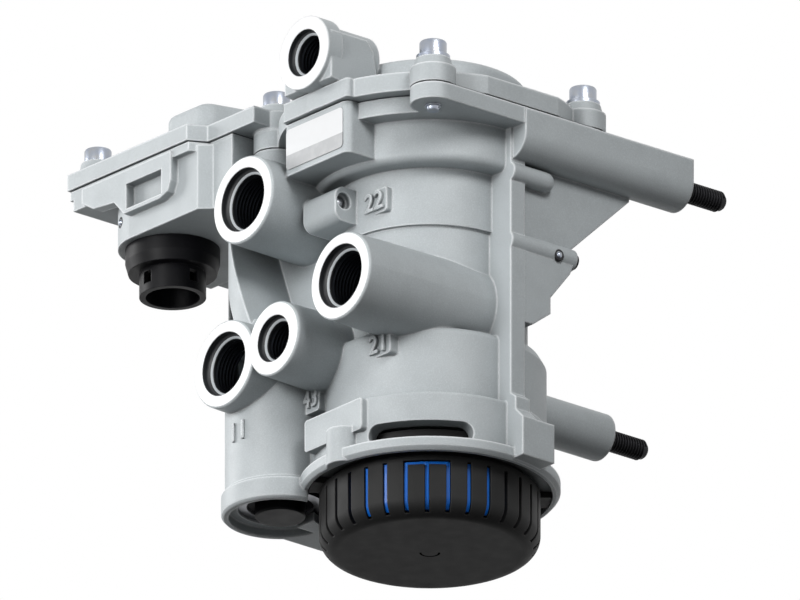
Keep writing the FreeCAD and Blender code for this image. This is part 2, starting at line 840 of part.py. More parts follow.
def exhaust_window():
    """The long slot through the skirt at the front right, as a sector with two round ends."""
    centre = RING_TOP + " + 3.9"
    start, end, half = -66.0, -24.0, "4"
    sector = cylinder("ring_radius + 6", "2 * " + half, ("0", "0", centre + " - " + half))
    sector.Angle = end - start
    sector.Placement.Rotation = FreeCAD.Rotation(FreeCAD.Vector(0, 0, 1), start)
    ends = []
    for angle in (start, end):
        outward = FreeCAD.Rotation(FreeCAD.Vector(0, 0, 1), angle) * TO_RIGHT
        ends.append(cylinder(half, "ring_radius + 6", ("0", "0", centre), outward))
    return joined(sector, *ends)


def main_bores():
    """The stepped hollow on the main axis, open at both ends."""
    return turned("Main_bore", [
        ("0", "ring_bottom - overshoot"),
        ("silencer_recess", "ring_bottom - overshoot"),
        ("silencer_recess", "ring_bottom + recess_depth"),
        ("exhaust_bore", "ring_bottom + recess_depth + floor_round"),
        ("exhaust_bore", FLOOR),
        ("supply_bore", FLOOR),
        ("supply_bore", FLOOR + " + guide_ring_seat"),
        ("supply_bore + supply_groove", FLOOR + " + guide_ring_seat"),
        ("supply_bore + supply_groove", GUIDE_BOTTOM),
        ("supply_bore", GUIDE_BOTTOM),
        ("supply_bore", SEAT_BOTTOM),
        ("seat_bore", SEAT_BOTTOM),
        ("seat_bore", SEAT_TOP),
        ("relay_bore", SEAT_TOP),
        ("relay_bore", WAIST_TOP + " + 1.5"),
        ("control_bore", CONTROL_FLOOR),
        ("control_bore", BODY_TOP + " + overshoot"),
        ("0", BODY_TOP + " + overshoot"),
    ])


def tower_bores():
    """The tower's piston bore, its wide mouth and the groove for the retaining ring."""
    return turned("Tower_bore", [
        ("0", "-overshoot"),
        ("tower_mouth", "-overshoot"),
        ("tower_mouth", "tower_mouth_depth"),
        ("tower_bore", "tower_mouth_depth"),
        ("tower_bore", RING_LOW),
        ("tower_bore + ring_groove", RING_LOW),
        ("tower_bore + ring_groove", RING_HIGH),
        ("tower_bore", RING_HIGH),
        ("tower_bore", "tower_height - 3"),
        ("0", "tower_height - 3"),
    ], ("-tower_side", "-tower_front", "tower_bottom"))


def passage(start, end, radius="passage_radius"):
    """A drilled passage between two points given by expressions."""
    first = FreeCAD.Vector(*[value(part) for part in start])
    run = FreeCAD.Vector(*[value(part) for part in end]) - first
    turn = FreeCAD.Rotation(FreeCAD.Vector(0, 0, 1), run)
    drill = cylinder(radius, "1", start, turn)
    drill.setExpression("Height", bound("sqrt(%s)" % " + ".join(
        "((%s) - (%s)) ^ 2" % (high, low) for low, high in zip(start, end))))
    return drill


def body_cuts():
    """Everything that is bored or drilled out of the valve body."""
    bolts = [bolt_hole(x, y) for x, y in lid_bolts()]
    studs = [stud_hole("arm_side", ARM_LEVEL), stud_hole("-arm_side", ARM_LEVEL)]
    studs.append(stud_hole("0", "lower_arm_level"))
    supply = passage(("-tower_side", "-tower_front", SKIRT_TOP + " + 14"), ("0", "0", SKIRT_TOP + " + 14"))
    outlet = passage(("lower_port_side", "-port_face + large_bore_depth", LOWER_PORT_LEVEL),
                     ("lower_port_side", "-0.6 * relay_bore", LOWER_PORT_LEVEL), "0.7 * large_bore")
    delivery = passage(("-upper_port_side", "-port_face + large_bore_depth", UPPER_PORT_LEVEL),
                       ("-0.3 * upper_port_side", "0", UPPER_PORT_LEVEL + " - 17"))
    pilot = passage(("-pilot_port_side", "-port_face + small_bore_depth", PILOT_PORT_LEVEL),
                    ("0", "0", PILOT_PORT_LEVEL + " - 16"), "0.7 * passage_radius")
    return [
        main_bores(), tower_bores(), exhaust_window(),
        port_bore("-upper_port_side", UPPER_PORT_LEVEL, "large", "large_bore_depth"),
        port_bore("lower_port_side", LOWER_PORT_LEVEL, "large", "large_bore_depth"),
        port_bore("-pilot_port_side", PILOT_PORT_LEVEL, "small", "small_bore_depth"),
        port_bore("-tower_side", SUPPLY_PORT_LEVEL, "large", "port_face - tower_front"),
        supply, outlet, delivery, pilot, ball_hole(), *bolts, *studs, *wing_screw_holes(),
    ]


def recess_roof():
    """The part of the clearance cylinder that lies above the silencer recess."""
    return cylinder("silencer_recess + overshoot", "skirt_height", ("0", "0", "ring_bottom + recess_depth"))


def bolt_hole(x, y, bottom=HEAD_TOP + " - bolt_tip - bolt_gap", top=BODY_TOP + " + overshoot"):
    return cylinder("bolt_radius", "(%s) - (%s)" % (top, bottom), (x, y, bottom))


def wing():
    """The rear wing of the body that carries the electronics housing."""
    return block("-house_left + wing_start", "-plate_half_width", "house_back", "plate_thickness",
                 "house_bottom", BODY_TOP + " - wing_drop")


def wing_screw_places():
    level = "house_bottom + 2 * bolt_radius"
    return [("-house_left + %s * house_length" % share, level) for share in ("0.36", "0.81")]


def wing_screw_holes():
    """Holes through the wing for the screws of the electronics housing."""
    return [cylinder("bolt_radius", "wing_hole_length", (x, "house_back - wing_hole_start", z), TO_BACK)
            for x, z in wing_screw_places()]


def ball_hole():
    """The stepped hole whose narrow part holds the sealing ball."""
    narrow = cylinder("ball_radius", "2 * ball_depth", ball_place("2 * ball_depth"), TO_RIGHT)
    mouth = cylinder("ball_mouth", "0.5 * ball_depth + overshoot", ball_place("0.5 * ball_depth"), TO_RIGHT)
    return joined(narrow, mouth)


def valve_body():
    """The main casting with its bosses, pads, tower, arms and bores."""
    bosses = [
        port("-upper_port_side", UPPER_PORT_LEVEL, "large", "port_face", "boss_growth"),
        port("lower_port_side", LOWER_PORT_LEVEL, "large", "port_face", "boss_growth"),
        port("-pilot_port_side", PILOT_PORT_LEVEL, "small", "port_face - pilot_boss_back", "boss_growth"),
        port("-tower_side", SUPPLY_PORT_LEVEL, "large", "port_face - tower_front", "boss_growth"),
    ]
    solid = joined(
        stepped_casting(), back_of_casting(), back_plate(), feet(), body_flange(), label_block(),
        *number_pads(), *skirt_pad(), ball_lug(), *tower(), column(), wing(),
        *upper_arm(""), *upper_arm("-"), mounting_arm("0", "lower_arm_level", "0"), *bosses)
    bored = without(solid, *body_cuts())
    web = block("-tower_side - tower_web_left", "-tower_side + tower_web_right",
                "-tower_front + tower_web_front", "-tower_front + tower_web_back",
                "tower_bottom", "tower_bottom + tower_mouth_depth")
    clear = cylinder("silencer_recess", "tower_mouth_depth + 8", ("0", "0", "tower_bottom - 1"))
    return node("valve_body", without(joined(bored, web), without(clear, recess_roof())))


def at_radius(radius, level):
    """A test for the circular edge of a turned body at a radius and a level."""
    def wanted(edge):
        circle = edge.Curve
        return (isinstance(circle, Part.Circle) and abs(circle.Radius - value(radius)) < TINY
                and abs(circle.Center.z - value(level)) < TINY)
    return wanted


def screw(x, y, bottom, seat, head_radius="bolt_head_radius", head_height="bolt_head_height", turn=UPRIGHT):
    """One screw: its shank from bottom to seat and its head above the seat."""
    length = "(%s) - (%s)" % (seat, bottom)
    return turned("Screw", [
        ("0", "0"),
        ("bolt_radius - bolt_point", "0"),
        ("bolt_radius", "bolt_point_length"),
        ("bolt_radius", length),
        (head_radius, length),
        (head_radius, length + " + " + head_height + " - head_chamfer"),
        (head_radius + " - head_chamfer", length + " + " + head_height),
        ("0", length + " + " + head_height),
    ], (x, y, bottom), turn)


def washer(x, y, level):
    ring = cylinder("washer_radius", "washer_thickness", (x, y, level))
    hole = cylinder("bolt_radius", "washer_thickness + 2 * overshoot", (x, y, level + " - overshoot"))
    return without(ring, hole)


def plain_bolts():
    """The cover bolts that sit on the lid itself: all but the front left one."""
    return [(x, y) for x, y in lid_bolts() if (x, y) != EAR]


def lid_dome():
    """The round raised dome of the lid with its rounded rim."""
    dome = turned("Dome", [
        ("0", "0"),
        ("dome_radius", "0"),
        ("dome_radius", "lid_thickness + dome_height"),
        ("0", "lid_thickness + dome_height"),
    ], ("0", "0", LID_BOTTOM))
    rounded(dome, dome.Tip, "dome_round", at_radius("dome_radius", "lid_thickness + dome_height"))
    return dome


def lid_turret():
    """The turret of the control port: its mouth disc and the boxed body behind it."""
    mouth = ("0", "-port_face", CONTROL_PORT_LEVEL)
    disc = cylinder("turret_ring", "turret_disc", mouth, TO_BACK)
    barrel = cylinder("small_mouth + turret_wall", "port_face - turret_back", mouth, TO_BACK)
    body = extruded("Turret", "YZ_Plane", [
        ("-port_face + turret_front", LID_TOP + " + 1"),
        ("-port_face + turret_front", CONTROL_PORT_LEVEL + " + turret_rise"),
        ("-port_face + turret_roof_end", CONTROL_PORT_LEVEL + " + turret_rise"),
        ("-port_face + 22", CONTROL_PORT_LEVEL + " + 2"),
        ("-port_face + 24", LID_TOP + " + 3"),
        ("-port_face + 28", LID_TOP),
        ("-port_face + 8", LID_TOP),
    ], "2 * turret_ring - 2 * turret_inset", ("-turret_ring + turret_inset", "0", "0"))
    return [disc, barrel, body]


def lid_outline(level, thickness):
    """The flange of the lid: an arc trimmed by its straight sides, four corners and the nose."""
    arc = shared(
        cylinder("lid_arc", thickness, ("0", "0", level)),
        block("-lid_half_width", "lid_half_width", "-lid_arc", "lid_arc", level, level + " + " + thickness))
    ears = [cylinder("lid_corner", thickness, (x, y, level)) for x, y in lid_bolts()]
    nose = extruded("Nose", "XY_Plane", [
        ("-0.5 * lid_nose_width", "-lid_nose_front"),
        ("0.5 * lid_nose_width", "-lid_nose_front"),
        ("0.5 * lid_nose_width", "-0.5 * dome_radius"),
        ("-0.5 * lid_nose_width", "-0.5 * dome_radius"),
    ], thickness, ("0", "0", level), rounding="lid_nose_round")
    return joined(arc, nose, *ears)


def top_cover():
    """The lid with its dome, control port turret, bolt bosses and the guide for the control piston."""
    flange = lid_outline(LID_BOTTOM, "lid_thickness")
    bosses = [cone("lid_corner - boss_lean", "washer_radius + clearance", "bolt_boss_height", (x, y, LID_TOP))
              for x, y in plain_bolts()]
    cavity = turned("Cavity", [
        ("0", LID_BOTTOM + " - overshoot"),
        ("dome_radius - dome_wall", LID_BOTTOM + " - overshoot"),
        ("dome_radius - dome_wall", DOME_TOP + " - dome_wall - cavity_slope"),
        ("dome_radius - dome_wall - cavity_slope", DOME_TOP + " - dome_wall"),
        ("guide_sleeve", DOME_TOP + " - dome_wall"),
        ("guide_sleeve", LID_TOP + " - sleeve_drop"),
        ("relay_stem + running_fit", LID_TOP + " - sleeve_drop"),
        ("relay_stem + running_fit", DOME_TOP + " - dome_wall - sleeve_drop"),
        ("0", DOME_TOP + " - dome_wall - sleeve_drop"),
    ])
    bolt_top = LID_TOP + " + bolt_boss_height + overshoot"
    holes = [bolt_hole(x, y, LID_BOTTOM + " - overshoot", bolt_top) for x, y in lid_bolts()]
    feed = passage(("0", "-port_face + small_bore_depth", CONTROL_PORT_LEVEL),
                   ("0", "-0.5 * dome_radius", LID_TOP + " + 4"), "0.8 * passage_radius")
    solid = joined(flange, lid_dome(), *lid_turret(), *bosses)
    mouth = port_bore("0", CONTROL_PORT_LEVEL, "small", "small_bore_depth")
    return node("top_cover", without(solid, cavity, mouth, feed, *holes))


def cover_gasket():
    """The flat gasket between the valve body and the lid."""
    disc = cylinder("lid_arc - flange_inset", "gasket", ("0", "0", BODY_TOP))
    ears = [cylinder("lid_corner - gasket_inset", "gasket", (x, y, BODY_TOP)) for x, y in lid_bolts()]
    bar = block("-lid_half_width + gasket_inset", "lid_half_width - gasket_inset", "-lid_bolt_front",
                "lid_bolt_front", BODY_TOP, LID_BOTTOM)
    holes = [bolt_hole(x, y, BODY_TOP + " - overshoot", LID_BOTTOM + " + overshoot") for x, y in lid_bolts()]
    opening = cylinder("control_bore", "gasket + 2 * overshoot", ("0", "0", BODY_TOP + " - overshoot"))
    return node("cover_gasket", without(joined(disc, bar, *ears), opening, *holes))


def cover_fasteners():
    """The three plain cover bolts and their washers."""
    seat = LID_TOP + " + bolt_boss_height"
    node("cover_washers", grouped(*[washer(x, y, seat) for x, y in plain_bolts()]))
    bolts = [screw(x, y, HEAD_TOP + " - bolt_tip", seat + " + washer_thickness") for x, y in plain_bolts()]
    node("cover_bolts", grouped(*bolts))


def name_label():
    """The bare label plate on the raised block."""
    low = BODY_TOP + " - label_height + label_margin"
    high = BODY_TOP + " - label_margin"
    left = "-label_left + label_margin"
    right = "label_right - label_margin"
    return node("name_label", extruded("Label", "XZ_Plane", [
        (left, low), (right, low), (right, high), (left, high),
    ], "label_thickness", ("0", "-label_front", "0"), rounding="label_round"))


def studs():
    """The three studs that fasten the valve, screwed into the ends of the arms."""
    places = [("upper_stud_right", "arm_side", ARM_LEVEL), ("upper_stud_left", "-arm_side", ARM_LEVEL),
              ("lower_stud", "0", "lower_arm_level")]
    for name, x, z in places:
        length = "stud_grip_length + stud_free_length"
        neck = "stud_radius - stud_relief"
        node(name, turned("Stud", [
            ("0", "0"),
            ("stud_grip_radius - stud_chamfer", "0"),
            ("stud_grip_radius", "stud_chamfer"),
            ("stud_grip_radius", "stud_grip_length - 2 * stud_relief"),
            (neck, "stud_grip_length"),
            (neck, "stud_grip_length + stud_relief_length"),
            ("stud_radius", "stud_grip_length + stud_relief_length + stud_relief"),
            ("stud_radius", length + " - stud_end_chamfer"),
            ("stud_radius - stud_end_chamfer", length),
            ("0", length),
        ], (x, "arm_end - stud_grip_length", z), TO_BACK))


def silencer_slots():
    """The narrow upright slots round the cap; the three that face front are joined at the top."""
    slots = []
    low, high = "cap_slot_start", "ring_bottom - cap_slot_margin"
    inner = "cap_radius - cap_round + cap_slot_root"
    count = int(value("cap_slots"))
    for number in range(count):
        angle = SLOT_FRONT + number * 360.0 / count
        slot = doc.addObject("Part::Box", "Slot")
        slot.setExpression("Length", bound("cap_round"))
        slot.setExpression("Width", bound("cap_slot_width"))
        slot.setExpression("Height", bound("(%s) - (%s)" % (high, low)))
        turn = FreeCAD.Rotation(FreeCAD.Vector(0, 0, 1), angle)
        cosine, sine = math.cos(math.radians(angle)), math.sin(math.radians(angle))
        slots.append(placed(slot, (
            "%.9f * (%s) + %.9f * cap_slot_width / 2" % (cosine, inner, sine),
            "%.9f * (%s) - %.9f * cap_slot_width / 2" % (sine, inner, cosine),
            low), turn))
    step = 360.0 / count
    bar = cylinder("cap_radius + overshoot", "cap_slot_width", ("0", "0", high + " - cap_slot_width"))
    bar.Angle = 2 * step
    bar.Placement.Rotation = FreeCAD.Rotation(FreeCAD.Vector(0, 0, 1), SLOT_FRONT - step)
    core_at = ("0", "0", high + " - cap_slot_width - overshoot")
    core = cylinder(inner, "cap_slot_width + 2 * overshoot", core_at)
    return joined(*slots, without(bar, core))


def silencer_cap():
    """The black slotted cap, a cup whose neck fits the exhaust bore."""
    neck = "exhaust_bore - clearance"
    shoulder = "ring_bottom + cap_rise"
    cup = turned("Cap", [
        ("0", "0"),
        ("cap_radius", "0"),
        ("cap_radius", shoulder),
        (neck, shoulder + " + cap_shoulder"),
        (neck, shoulder + " + cap_neck_height"),
        (neck + " - cap_wall", shoulder + " + cap_neck_height"),
        (neck + " - cap_wall", shoulder + " - cap_throat"),
        ("cap_radius - cap_wall", shoulder + " - cap_throat_slope"),
        ("cap_radius - cap_wall", "cap_wall"),
        ("0", "cap_wall"),
    ])
    outer = rounded(cup, cup.Tip, "cap_round", at_radius("cap_radius", "0"))
    rounded(cup, outer, "cap_round - cap_wall", at_radius("cap_radius - cap_wall", "cap_wall"))
    lugs = []
    for angle in (LUG_ANGLE, LUG_ANGLE + 180):
        lug = cylinder("silencer_recess - cap_lug_reach", "cap_lug_height", ("0", "0", shoulder))
        lug.Angle = LUG_SPREAD
        lug.Placement.Rotation = FreeCAD.Rotation(FreeCAD.Vector(0, 0, 1), angle - LUG_SPREAD / 2)
        lugs.append(lug)
    hollow = cylinder(neck + " - 0.5 * cap_wall", "cap_neck_height", ("0", "0", shoulder + " - cap_throat"))
    return node("silencer_cap", without(joined(cup, without(joined(*lugs), hollow)), silencer_slots()))


def silencer_insert():
    """The blue inner cup that shows through the slots, and the packing that it holds."""
    outer = "cap_radius - cap_wall - clearance"
    low = "cap_wall + insert_gap"
    top = "ring_bottom - insert_drop"
    node("silencer_insert", turned("Insert", [
        ("0", low),
        (outer + " - insert_chamfer", low),
        (outer, low + " + insert_chamfer"),
        (outer, top),
        (outer + " - insert_wall", top),
        (outer + " - insert_wall", low + " + insert_wall + insert_inner_chamfer"),
        (outer + " - insert_wall - insert_inner_chamfer", low + " + insert_wall"),
        ("0", low + " + insert_wall"),
    ]))
    packing = outer + " - insert_wall - clearance - packing_gap"
    return node("silencer_packing", turned("Packing", [
        ("packing_bore", low + " + insert_wall"),
        (packing, low + " + insert_wall"),
        (packing, top + " - packing_drop"),
        ("packing_bore", top + " - packing_drop"),
    ]))


def ring(inner, outer, low, high, at=ORIGIN):
    """A flat-sided ring such as a seal or a retaining ring."""
    return turned("Ring", [(inner, low), (outer, low), (outer, high), (inner, high)], at)


def split_ring(inner, outer, low, high, at=ORIGIN):
    """A retaining ring with a gap and two small lugs."""
    x, y, z = at
    gap = block(x + " - ring_opening", x + " + ring_opening", y + " - (%s) - overshoot" % outer, y,
                z + " + " + low + " - overshoot", z + " + " + high + " + overshoot")
    return without(ring(inner, outer, low, high, at), gap)


def piston_seal(radius, groove, inner, at=ORIGIN):
    """The seal in a piston's groove."""
    return ring(inner, radius, groove + " + seal_gap", groove + " + seal_width - seal_gap", at)


def exhaust_guide():
    """The guide that closes the supply bore from below, with its seal and retaining ring."""
    outer = "supply_bore - running_fit"
    groove = GUIDE_BOTTOM + " + guide_groove"
    inner = "supply_bore - seal_squeeze"
    bore = "valve_stem + running_fit"
    node("exhaust_guide", turned("Guide", [
        (bore, GUIDE_BOTTOM), (outer, GUIDE_BOTTOM), (outer, groove), (inner, groove),
        (inner, groove + " + seal_width"), (outer, groove + " + seal_width"),
        (outer, GUIDE_TOP), (bore, GUIDE_TOP),
    ]))
    node("guide_seal", piston_seal(outer, groove, inner))
    return node("guide_ring", split_ring("supply_bore - guide_ring_width", "supply_bore + guide_ring_grip",
                                         FLOOR + " + guide_ring_seat + running_fit",
                                         GUIDE_BOTTOM + " - running_fit"))


def inlet_valve():
    """The hollow double valve: its disc seals the seat, its stem slides in the guide."""
    bottom = VALVE_TOP + " - valve_disc_thickness"
    return node("inlet_valve", turned("Valve", [
        ("valve_hollow", FLOOR + " + valve_rise"),
        ("valve_stem", FLOOR + " + valve_rise"),
        ("valve_stem", bottom),
        ("valve_disc", bottom),
        ("valve_disc", VALVE_TOP),
        ("valve_hollow", VALVE_TOP),
    ]))


def spring(name, coil, low, high, turns, at=ORIGIN, wire="spring_wire"):
    """A coil spring of half turns that lean to and fro, with a flat half turn at both ends."""
    x, y, z = at
    half_turns = 2 * turns
    start = "(%s) + (%s) + %s + spring_seat" % (z, low, wire)
    step = "((%s) - (%s) - 2 * %s - 2 * spring_seat) / %d" % (high, low, wire, half_turns)
    lean = math.degrees(math.atan2(value(step), 2 * value(coil)))
    pieces = []
    for number in range(-1, half_turns + 1):
        flat = number in (-1, half_turns)
        passed = min(max(number + 0.5, 0), half_turns)
        half = doc.addObject("Part::Torus", "Half_turn")
        half.setExpression("Radius1", bound(coil if flat else "sqrt((%s) ^ 2 + (%s) ^ 2 / 4)" % (coil, step)))
        half.setExpression("Radius2", bound(wire))
        half.Angle3 = 180
        side = FreeCAD.Rotation(FreeCAD.Vector(0, 0, 1), 180 * (number % 2))
        tilt = FreeCAD.Rotation(FreeCAD.Vector(0, 1, 0), 0 if flat else lean)
        pieces.append(placed(half, (x, y, "%s + %.1f * %s" % (start, passed, step)), side * tilt))
    return node(name, joined(*pieces))


def relay_piston():
    """The relay piston with its stem above the valve, and its seal."""
    radius = "relay_bore - running_fit"
    groove = RELAY_BOTTOM + " + relay_groove"
    inner = "relay_bore - 2 * seal_squeeze"
    stem_end = VALVE_TOP + " + relay_travel - valve_travel + clearance"
    node("relay_piston", turned("Relay", [
        ("valve_hollow", stem_end),
        ("relay_stem", stem_end),
        ("relay_stem", RELAY_BOTTOM + " - relay_flare"),
        ("relay_stem + relay_flare", RELAY_BOTTOM),
        (radius, RELAY_BOTTOM), (radius, groove), (inner, groove), (inner, groove + " + seal_width"),
        (radius, groove + " + seal_width"), (radius, RELAY_TOP),
        ("relay_bore - relay_rim", RELAY_TOP),
        ("relay_bore - relay_dish", RELAY_TOP + " - relay_dish_depth"),
        ("relay_stem + relay_flare", RELAY_TOP + " - relay_dish_depth"),
        ("relay_stem + 0.5 * relay_flare", RELAY_TOP), ("0", RELAY_TOP),
        ("0", stem_end + " + relay_hollow_depth"), ("valve_hollow", stem_end + " + relay_hollow_depth"),
    ]))
    return node("relay_seal", piston_seal(radius, groove, inner))


def control_piston():
    """The control piston, guided by its upper stem in the lid, and its seal."""
    radius = "control_bore - running_fit"
    groove = CONTROL_BOTTOM + " + control_groove"
    inner = "control_bore - 2 * seal_squeeze"
    stem_end = RELAY_TOP + " + control_travel + clearance"
    node("control_piston", turned("Control", [
        ("0", stem_end), ("relay_stem + 1", stem_end), ("relay_stem + 1", CONTROL_BOTTOM + " - 3"),
        ("relay_stem + 5", CONTROL_BOTTOM), (radius, CONTROL_BOTTOM), (radius, groove), (inner, groove),
        (inner, groove + " + seal_width"), (radius, groove + " + seal_width"), (radius, CONTROL_TOP),
        ("control_bore - control_rim", CONTROL_TOP),
        ("control_bore - control_dish", CONTROL_TOP + " - control_dish_depth"),
        ("relay_stem + 2 * control_dish_depth", CONTROL_TOP + " - control_dish_depth"),
        ("relay_stem", CONTROL_TOP + " + control_dish_depth"),
        ("relay_stem", DOME_TOP + " - dome_wall - cavity_slope"),
        ("0", DOME_TOP + " - dome_wall - cavity_slope"),
    ]))
    return node("control_seal", piston_seal(radius, groove, inner))


def tower_pieces():
    """The plug of the tower with its seal and ring, and the throttle piston above it."""
    at = ("-tower_side", "-tower_front", "tower_bottom")
    radius = "tower_bore - running_fit"
    seat = RING_HIGH
    groove = seat + " + plug_groove"
    inner = "tower_bore - seal_squeeze"
    node("tower_plug", turned("Plug", [
        ("0", "plug_sunk"), ("plug_disc - plug_chamfer", "plug_sunk"),
        ("plug_disc", "plug_sunk + plug_chamfer"), ("plug_disc", seat),
        (radius, seat), (radius, groove), (inner, groove), (inner, groove + " + seal_width"),
        (radius, groove + " + seal_width"), (radius, PLUG_TOP), ("0", PLUG_TOP),
    ], at))
    node("tower_seal", piston_seal(radius, groove, inner, at))
    node("tower_ring", split_ring("tower_bore - tower_ring_width", "tower_bore + tower_ring_grip",
                                  RING_LOW + " + running_fit", RING_HIGH + " - running_fit", at))
    groove = THROTTLE_BOTTOM + " + throttle_groove"
    top = THROTTLE_BOTTOM + " + throttle_height"
    node("throttle_piston", turned("Throttle", [
        ("0", THROTTLE_BOTTOM), (radius, THROTTLE_BOTTOM), (radius, groove), (inner, groove),
        (inner, groove + " + seal_width"), (radius, groove + " + seal_width"),
        (radius, top + " - throttle_slope"), ("tower_bore - throttle_edge", top), ("0", top),
    ], at))
    node("throttle_seal", piston_seal(radius, groove, inner, at))
    return spring("throttle_spring", "tower_bore - throttle_edge", PLUG_TOP, THROTTLE_BOTTOM, 2, at)


def small_plugs():
    """The sealing ball beside the upper delivery port and the plugs on the gusset lugs."""
    ball = doc.addObject("Part::Sphere", "Ball")
    ball.setExpression("Radius", bound("ball_radius"))
    node("sealing_ball", placed(ball, ball_place("ball_depth")))
    head = "0.7 * lug_radius"
    plugs = [turned("Lug_plug", [
        ("0", "0"), (head, "0"), (head, "0.4 * lug_radius"), ("0.6 * " + head, "0.6 * lug_radius"),
        ("0", "0.6 * lug_radius"),
    ], (sign + "(%s)" % LUG_SIDE, "lug_length", ARM_LEVEL + " - lug_below_arm"), TO_BACK)
        for sign in ("", "-")]
    return node("lug_plugs", grouped(*plugs))


def house_plan(name, level, thickness, grow="0", end="lid_half_width"):
    """The plan of the electronics housing, stepped back at its right end."""
    return extruded(name, "XY_Plane", [
        ("-house_left - " + grow, "-house_front - " + grow),
        ("-cover_step_at - 1", "-house_front - " + grow),
        ("-cover_step_at + 2.7", "-house_front + cover_step - " + grow),
        ("-(%s)" % end, "-house_front + cover_step - " + grow),
        ("-(%s)" % end, "house_back"),
        ("-house_left - " + grow, "house_back"),
    ], thickness, ("0", "0", level))


def electronics_housing():
    """The cast housing: a shallow left part, a deep part with the connector collar, and its hollow."""
    front = "-house_front + house_inset"
    step = HOUSE_TOP + " - shallow_depth"
    under_rim = HOUSE_TOP + " - rim_drop"
    plug = ("-plug_side", "-plug_front", "house_bottom")
    shell = [
        house_plan("House_rim", HOUSE_TOP + " - rim_height", "rim_height", "-rim_inset"),
        block("-house_left + shallow_inset", "-plug_side", "-house_front + rim_inset", "house_back", step,
              under_rim),
        extruded("Trunk", "XY_Plane", [
            ("-plug_side - 1.6", front),
            ("-cover_step_at + 1", front),
            ("-cover_step_at + 5", front + " + 0.6 * cover_step"),
            ("-lid_half_width", front + " + 0.6 * cover_step"),
            ("-lid_half_width", "house_back"),
            ("-plug_side - 1.6", "house_back"),
        ], "(%s) - house_bottom" % under_rim, ("0", "0", "house_bottom")),
        block("-plug_side - collar_radius", "-plug_side", "-plug_front", "house_back", "house_bottom",
              under_rim),
        cylinder("collar_radius", "(%s) - house_bottom" % under_rim, plug),
        housing_face(front, under_rim),
    ]
    window = block("-plug_side + window_side", "-plug_side + window_side + window_width",
                   "-house_front - overshoot", "-house_front + window_depth",
                   "house_bottom + window_rise", "house_bottom + window_rise + window_height")
    solid = without(joined(*shell), window, *housing_hollows(front, step))
    bosses = [cylinder("boss_radius", "boss_depth - 1", (x, y, BOSS_BOTTOM)) for x, y in house_bolts()]
    holes = [cylinder("bolt_radius", "10", (x, y, BOSS_BOTTOM + " - overshoot")) for x, y in house_bolts()]
    return node("electronics_housing", without(
        joined(solid, *board_supports(), *bosses), *holes, *wing_screw_holes()))


def housing_face(front, top):
    """The raised upper part of the housing's front, which ends in a rounded corner at the right."""
    flat = "house_bottom + 8.4"
    return extruded("Face", "XZ_Plane", [
        ("-house_left + 8", top),
        ("-house_left + 8", "house_bottom + 19.5"),
        ("-house_left + 14.5", "house_bottom + 15.5"),
        ("-plug_side - 5.4", "house_bottom + 14.4"),
        ("-plug_side", flat),
        ("-cover_step_at - 16.2", flat),
        ("-cover_step_at - 11.8", "house_bottom + 10"),
        ("-cover_step_at - 10", "house_bottom + 14"),
        ("-cover_step_at - 10", top),
    ], "house_inset + 1", ("0", front + " + 1", "0"))


def housing_hollows(front, step):
    """The hollows of the housing, one wall away from its outside, and the hole for the connector."""
    top = HOUSE_TOP + " + 1"
    back = "house_back - house_wall"
    height = "(%s) - (%s)" % (top, HOUSE_FLOOR)
    plug = ("-plug_side", "-plug_front", HOUSE_FLOOR)
    return [
        block("-plug_side + 2", "-lid_half_width - house_wall", front + " + 7.7", back, HOUSE_FLOOR, top),
        block("-plug_side - collar_radius + house_wall", "-plug_side + 3", "-plug_front", back,
              HOUSE_FLOOR, top),
        cylinder("collar_radius - house_wall", height, plug),
        block("-house_left + 16", "-plug_side", "-house_front + 6", back, step + " + house_wall", top),
        cylinder("plug_spigot", "house_wall + 2", ("-plug_side", "-plug_front", "house_bottom - 1")),
    ]


def board_supports():
    """The ledge and the two posts that carry the circuit board."""
    right = "-lid_half_width - house_wall"
    ledge = block("-plug_side + 2", right, "house_back - house_wall - ledge_depth", "house_back - 1",
                  HOUSE_FLOOR, BOARD_LEVEL)
    height = "(%s) - (%s)" % (BOARD_LEVEL, HOUSE_FLOOR)
    posts = [cylinder("2.4", height, (x, "-house_front + 14", HOUSE_FLOOR))
             for x in (right + " - 4", "-plug_side + 14")]
    return [ledge, *posts]


def house_bolts():
    """The places of the three bolts that hold the cover to its housing."""
    left = "-house_left + cover_bolt_inset"
    back = "house_back - cover_bolt_inset"
    return [(left, "-house_front + cover_bolt_front"), (left, back),
            ("-lid_half_width - cover_bolt_inset", back)]


def electronics_gasket():
    """The gasket under the electronics cover."""
    sheet_plan = house_plan("House_gasket", HOUSE_TOP, "gasket", "-gasket_rim_inset")
    opening = block("-house_left + 16", "-lid_half_width - house_wall",
                    "-house_front + cover_step + house_wall",
                    "house_back - house_wall", HOUSE_TOP + " - overshoot", COVER_BOTTOM + " + overshoot")
    holes = [cylinder("bolt_radius", "4", (x, y, HOUSE_TOP + " - 2")) for x, y in house_bolts()]
    keep = [cylinder("2 * bolt_radius", "gasket", (x, y, HOUSE_TOP)) for x, y in house_bolts()]
    return node("electronics_gasket", without(joined(without(sheet_plan, opening), *keep), *holes))


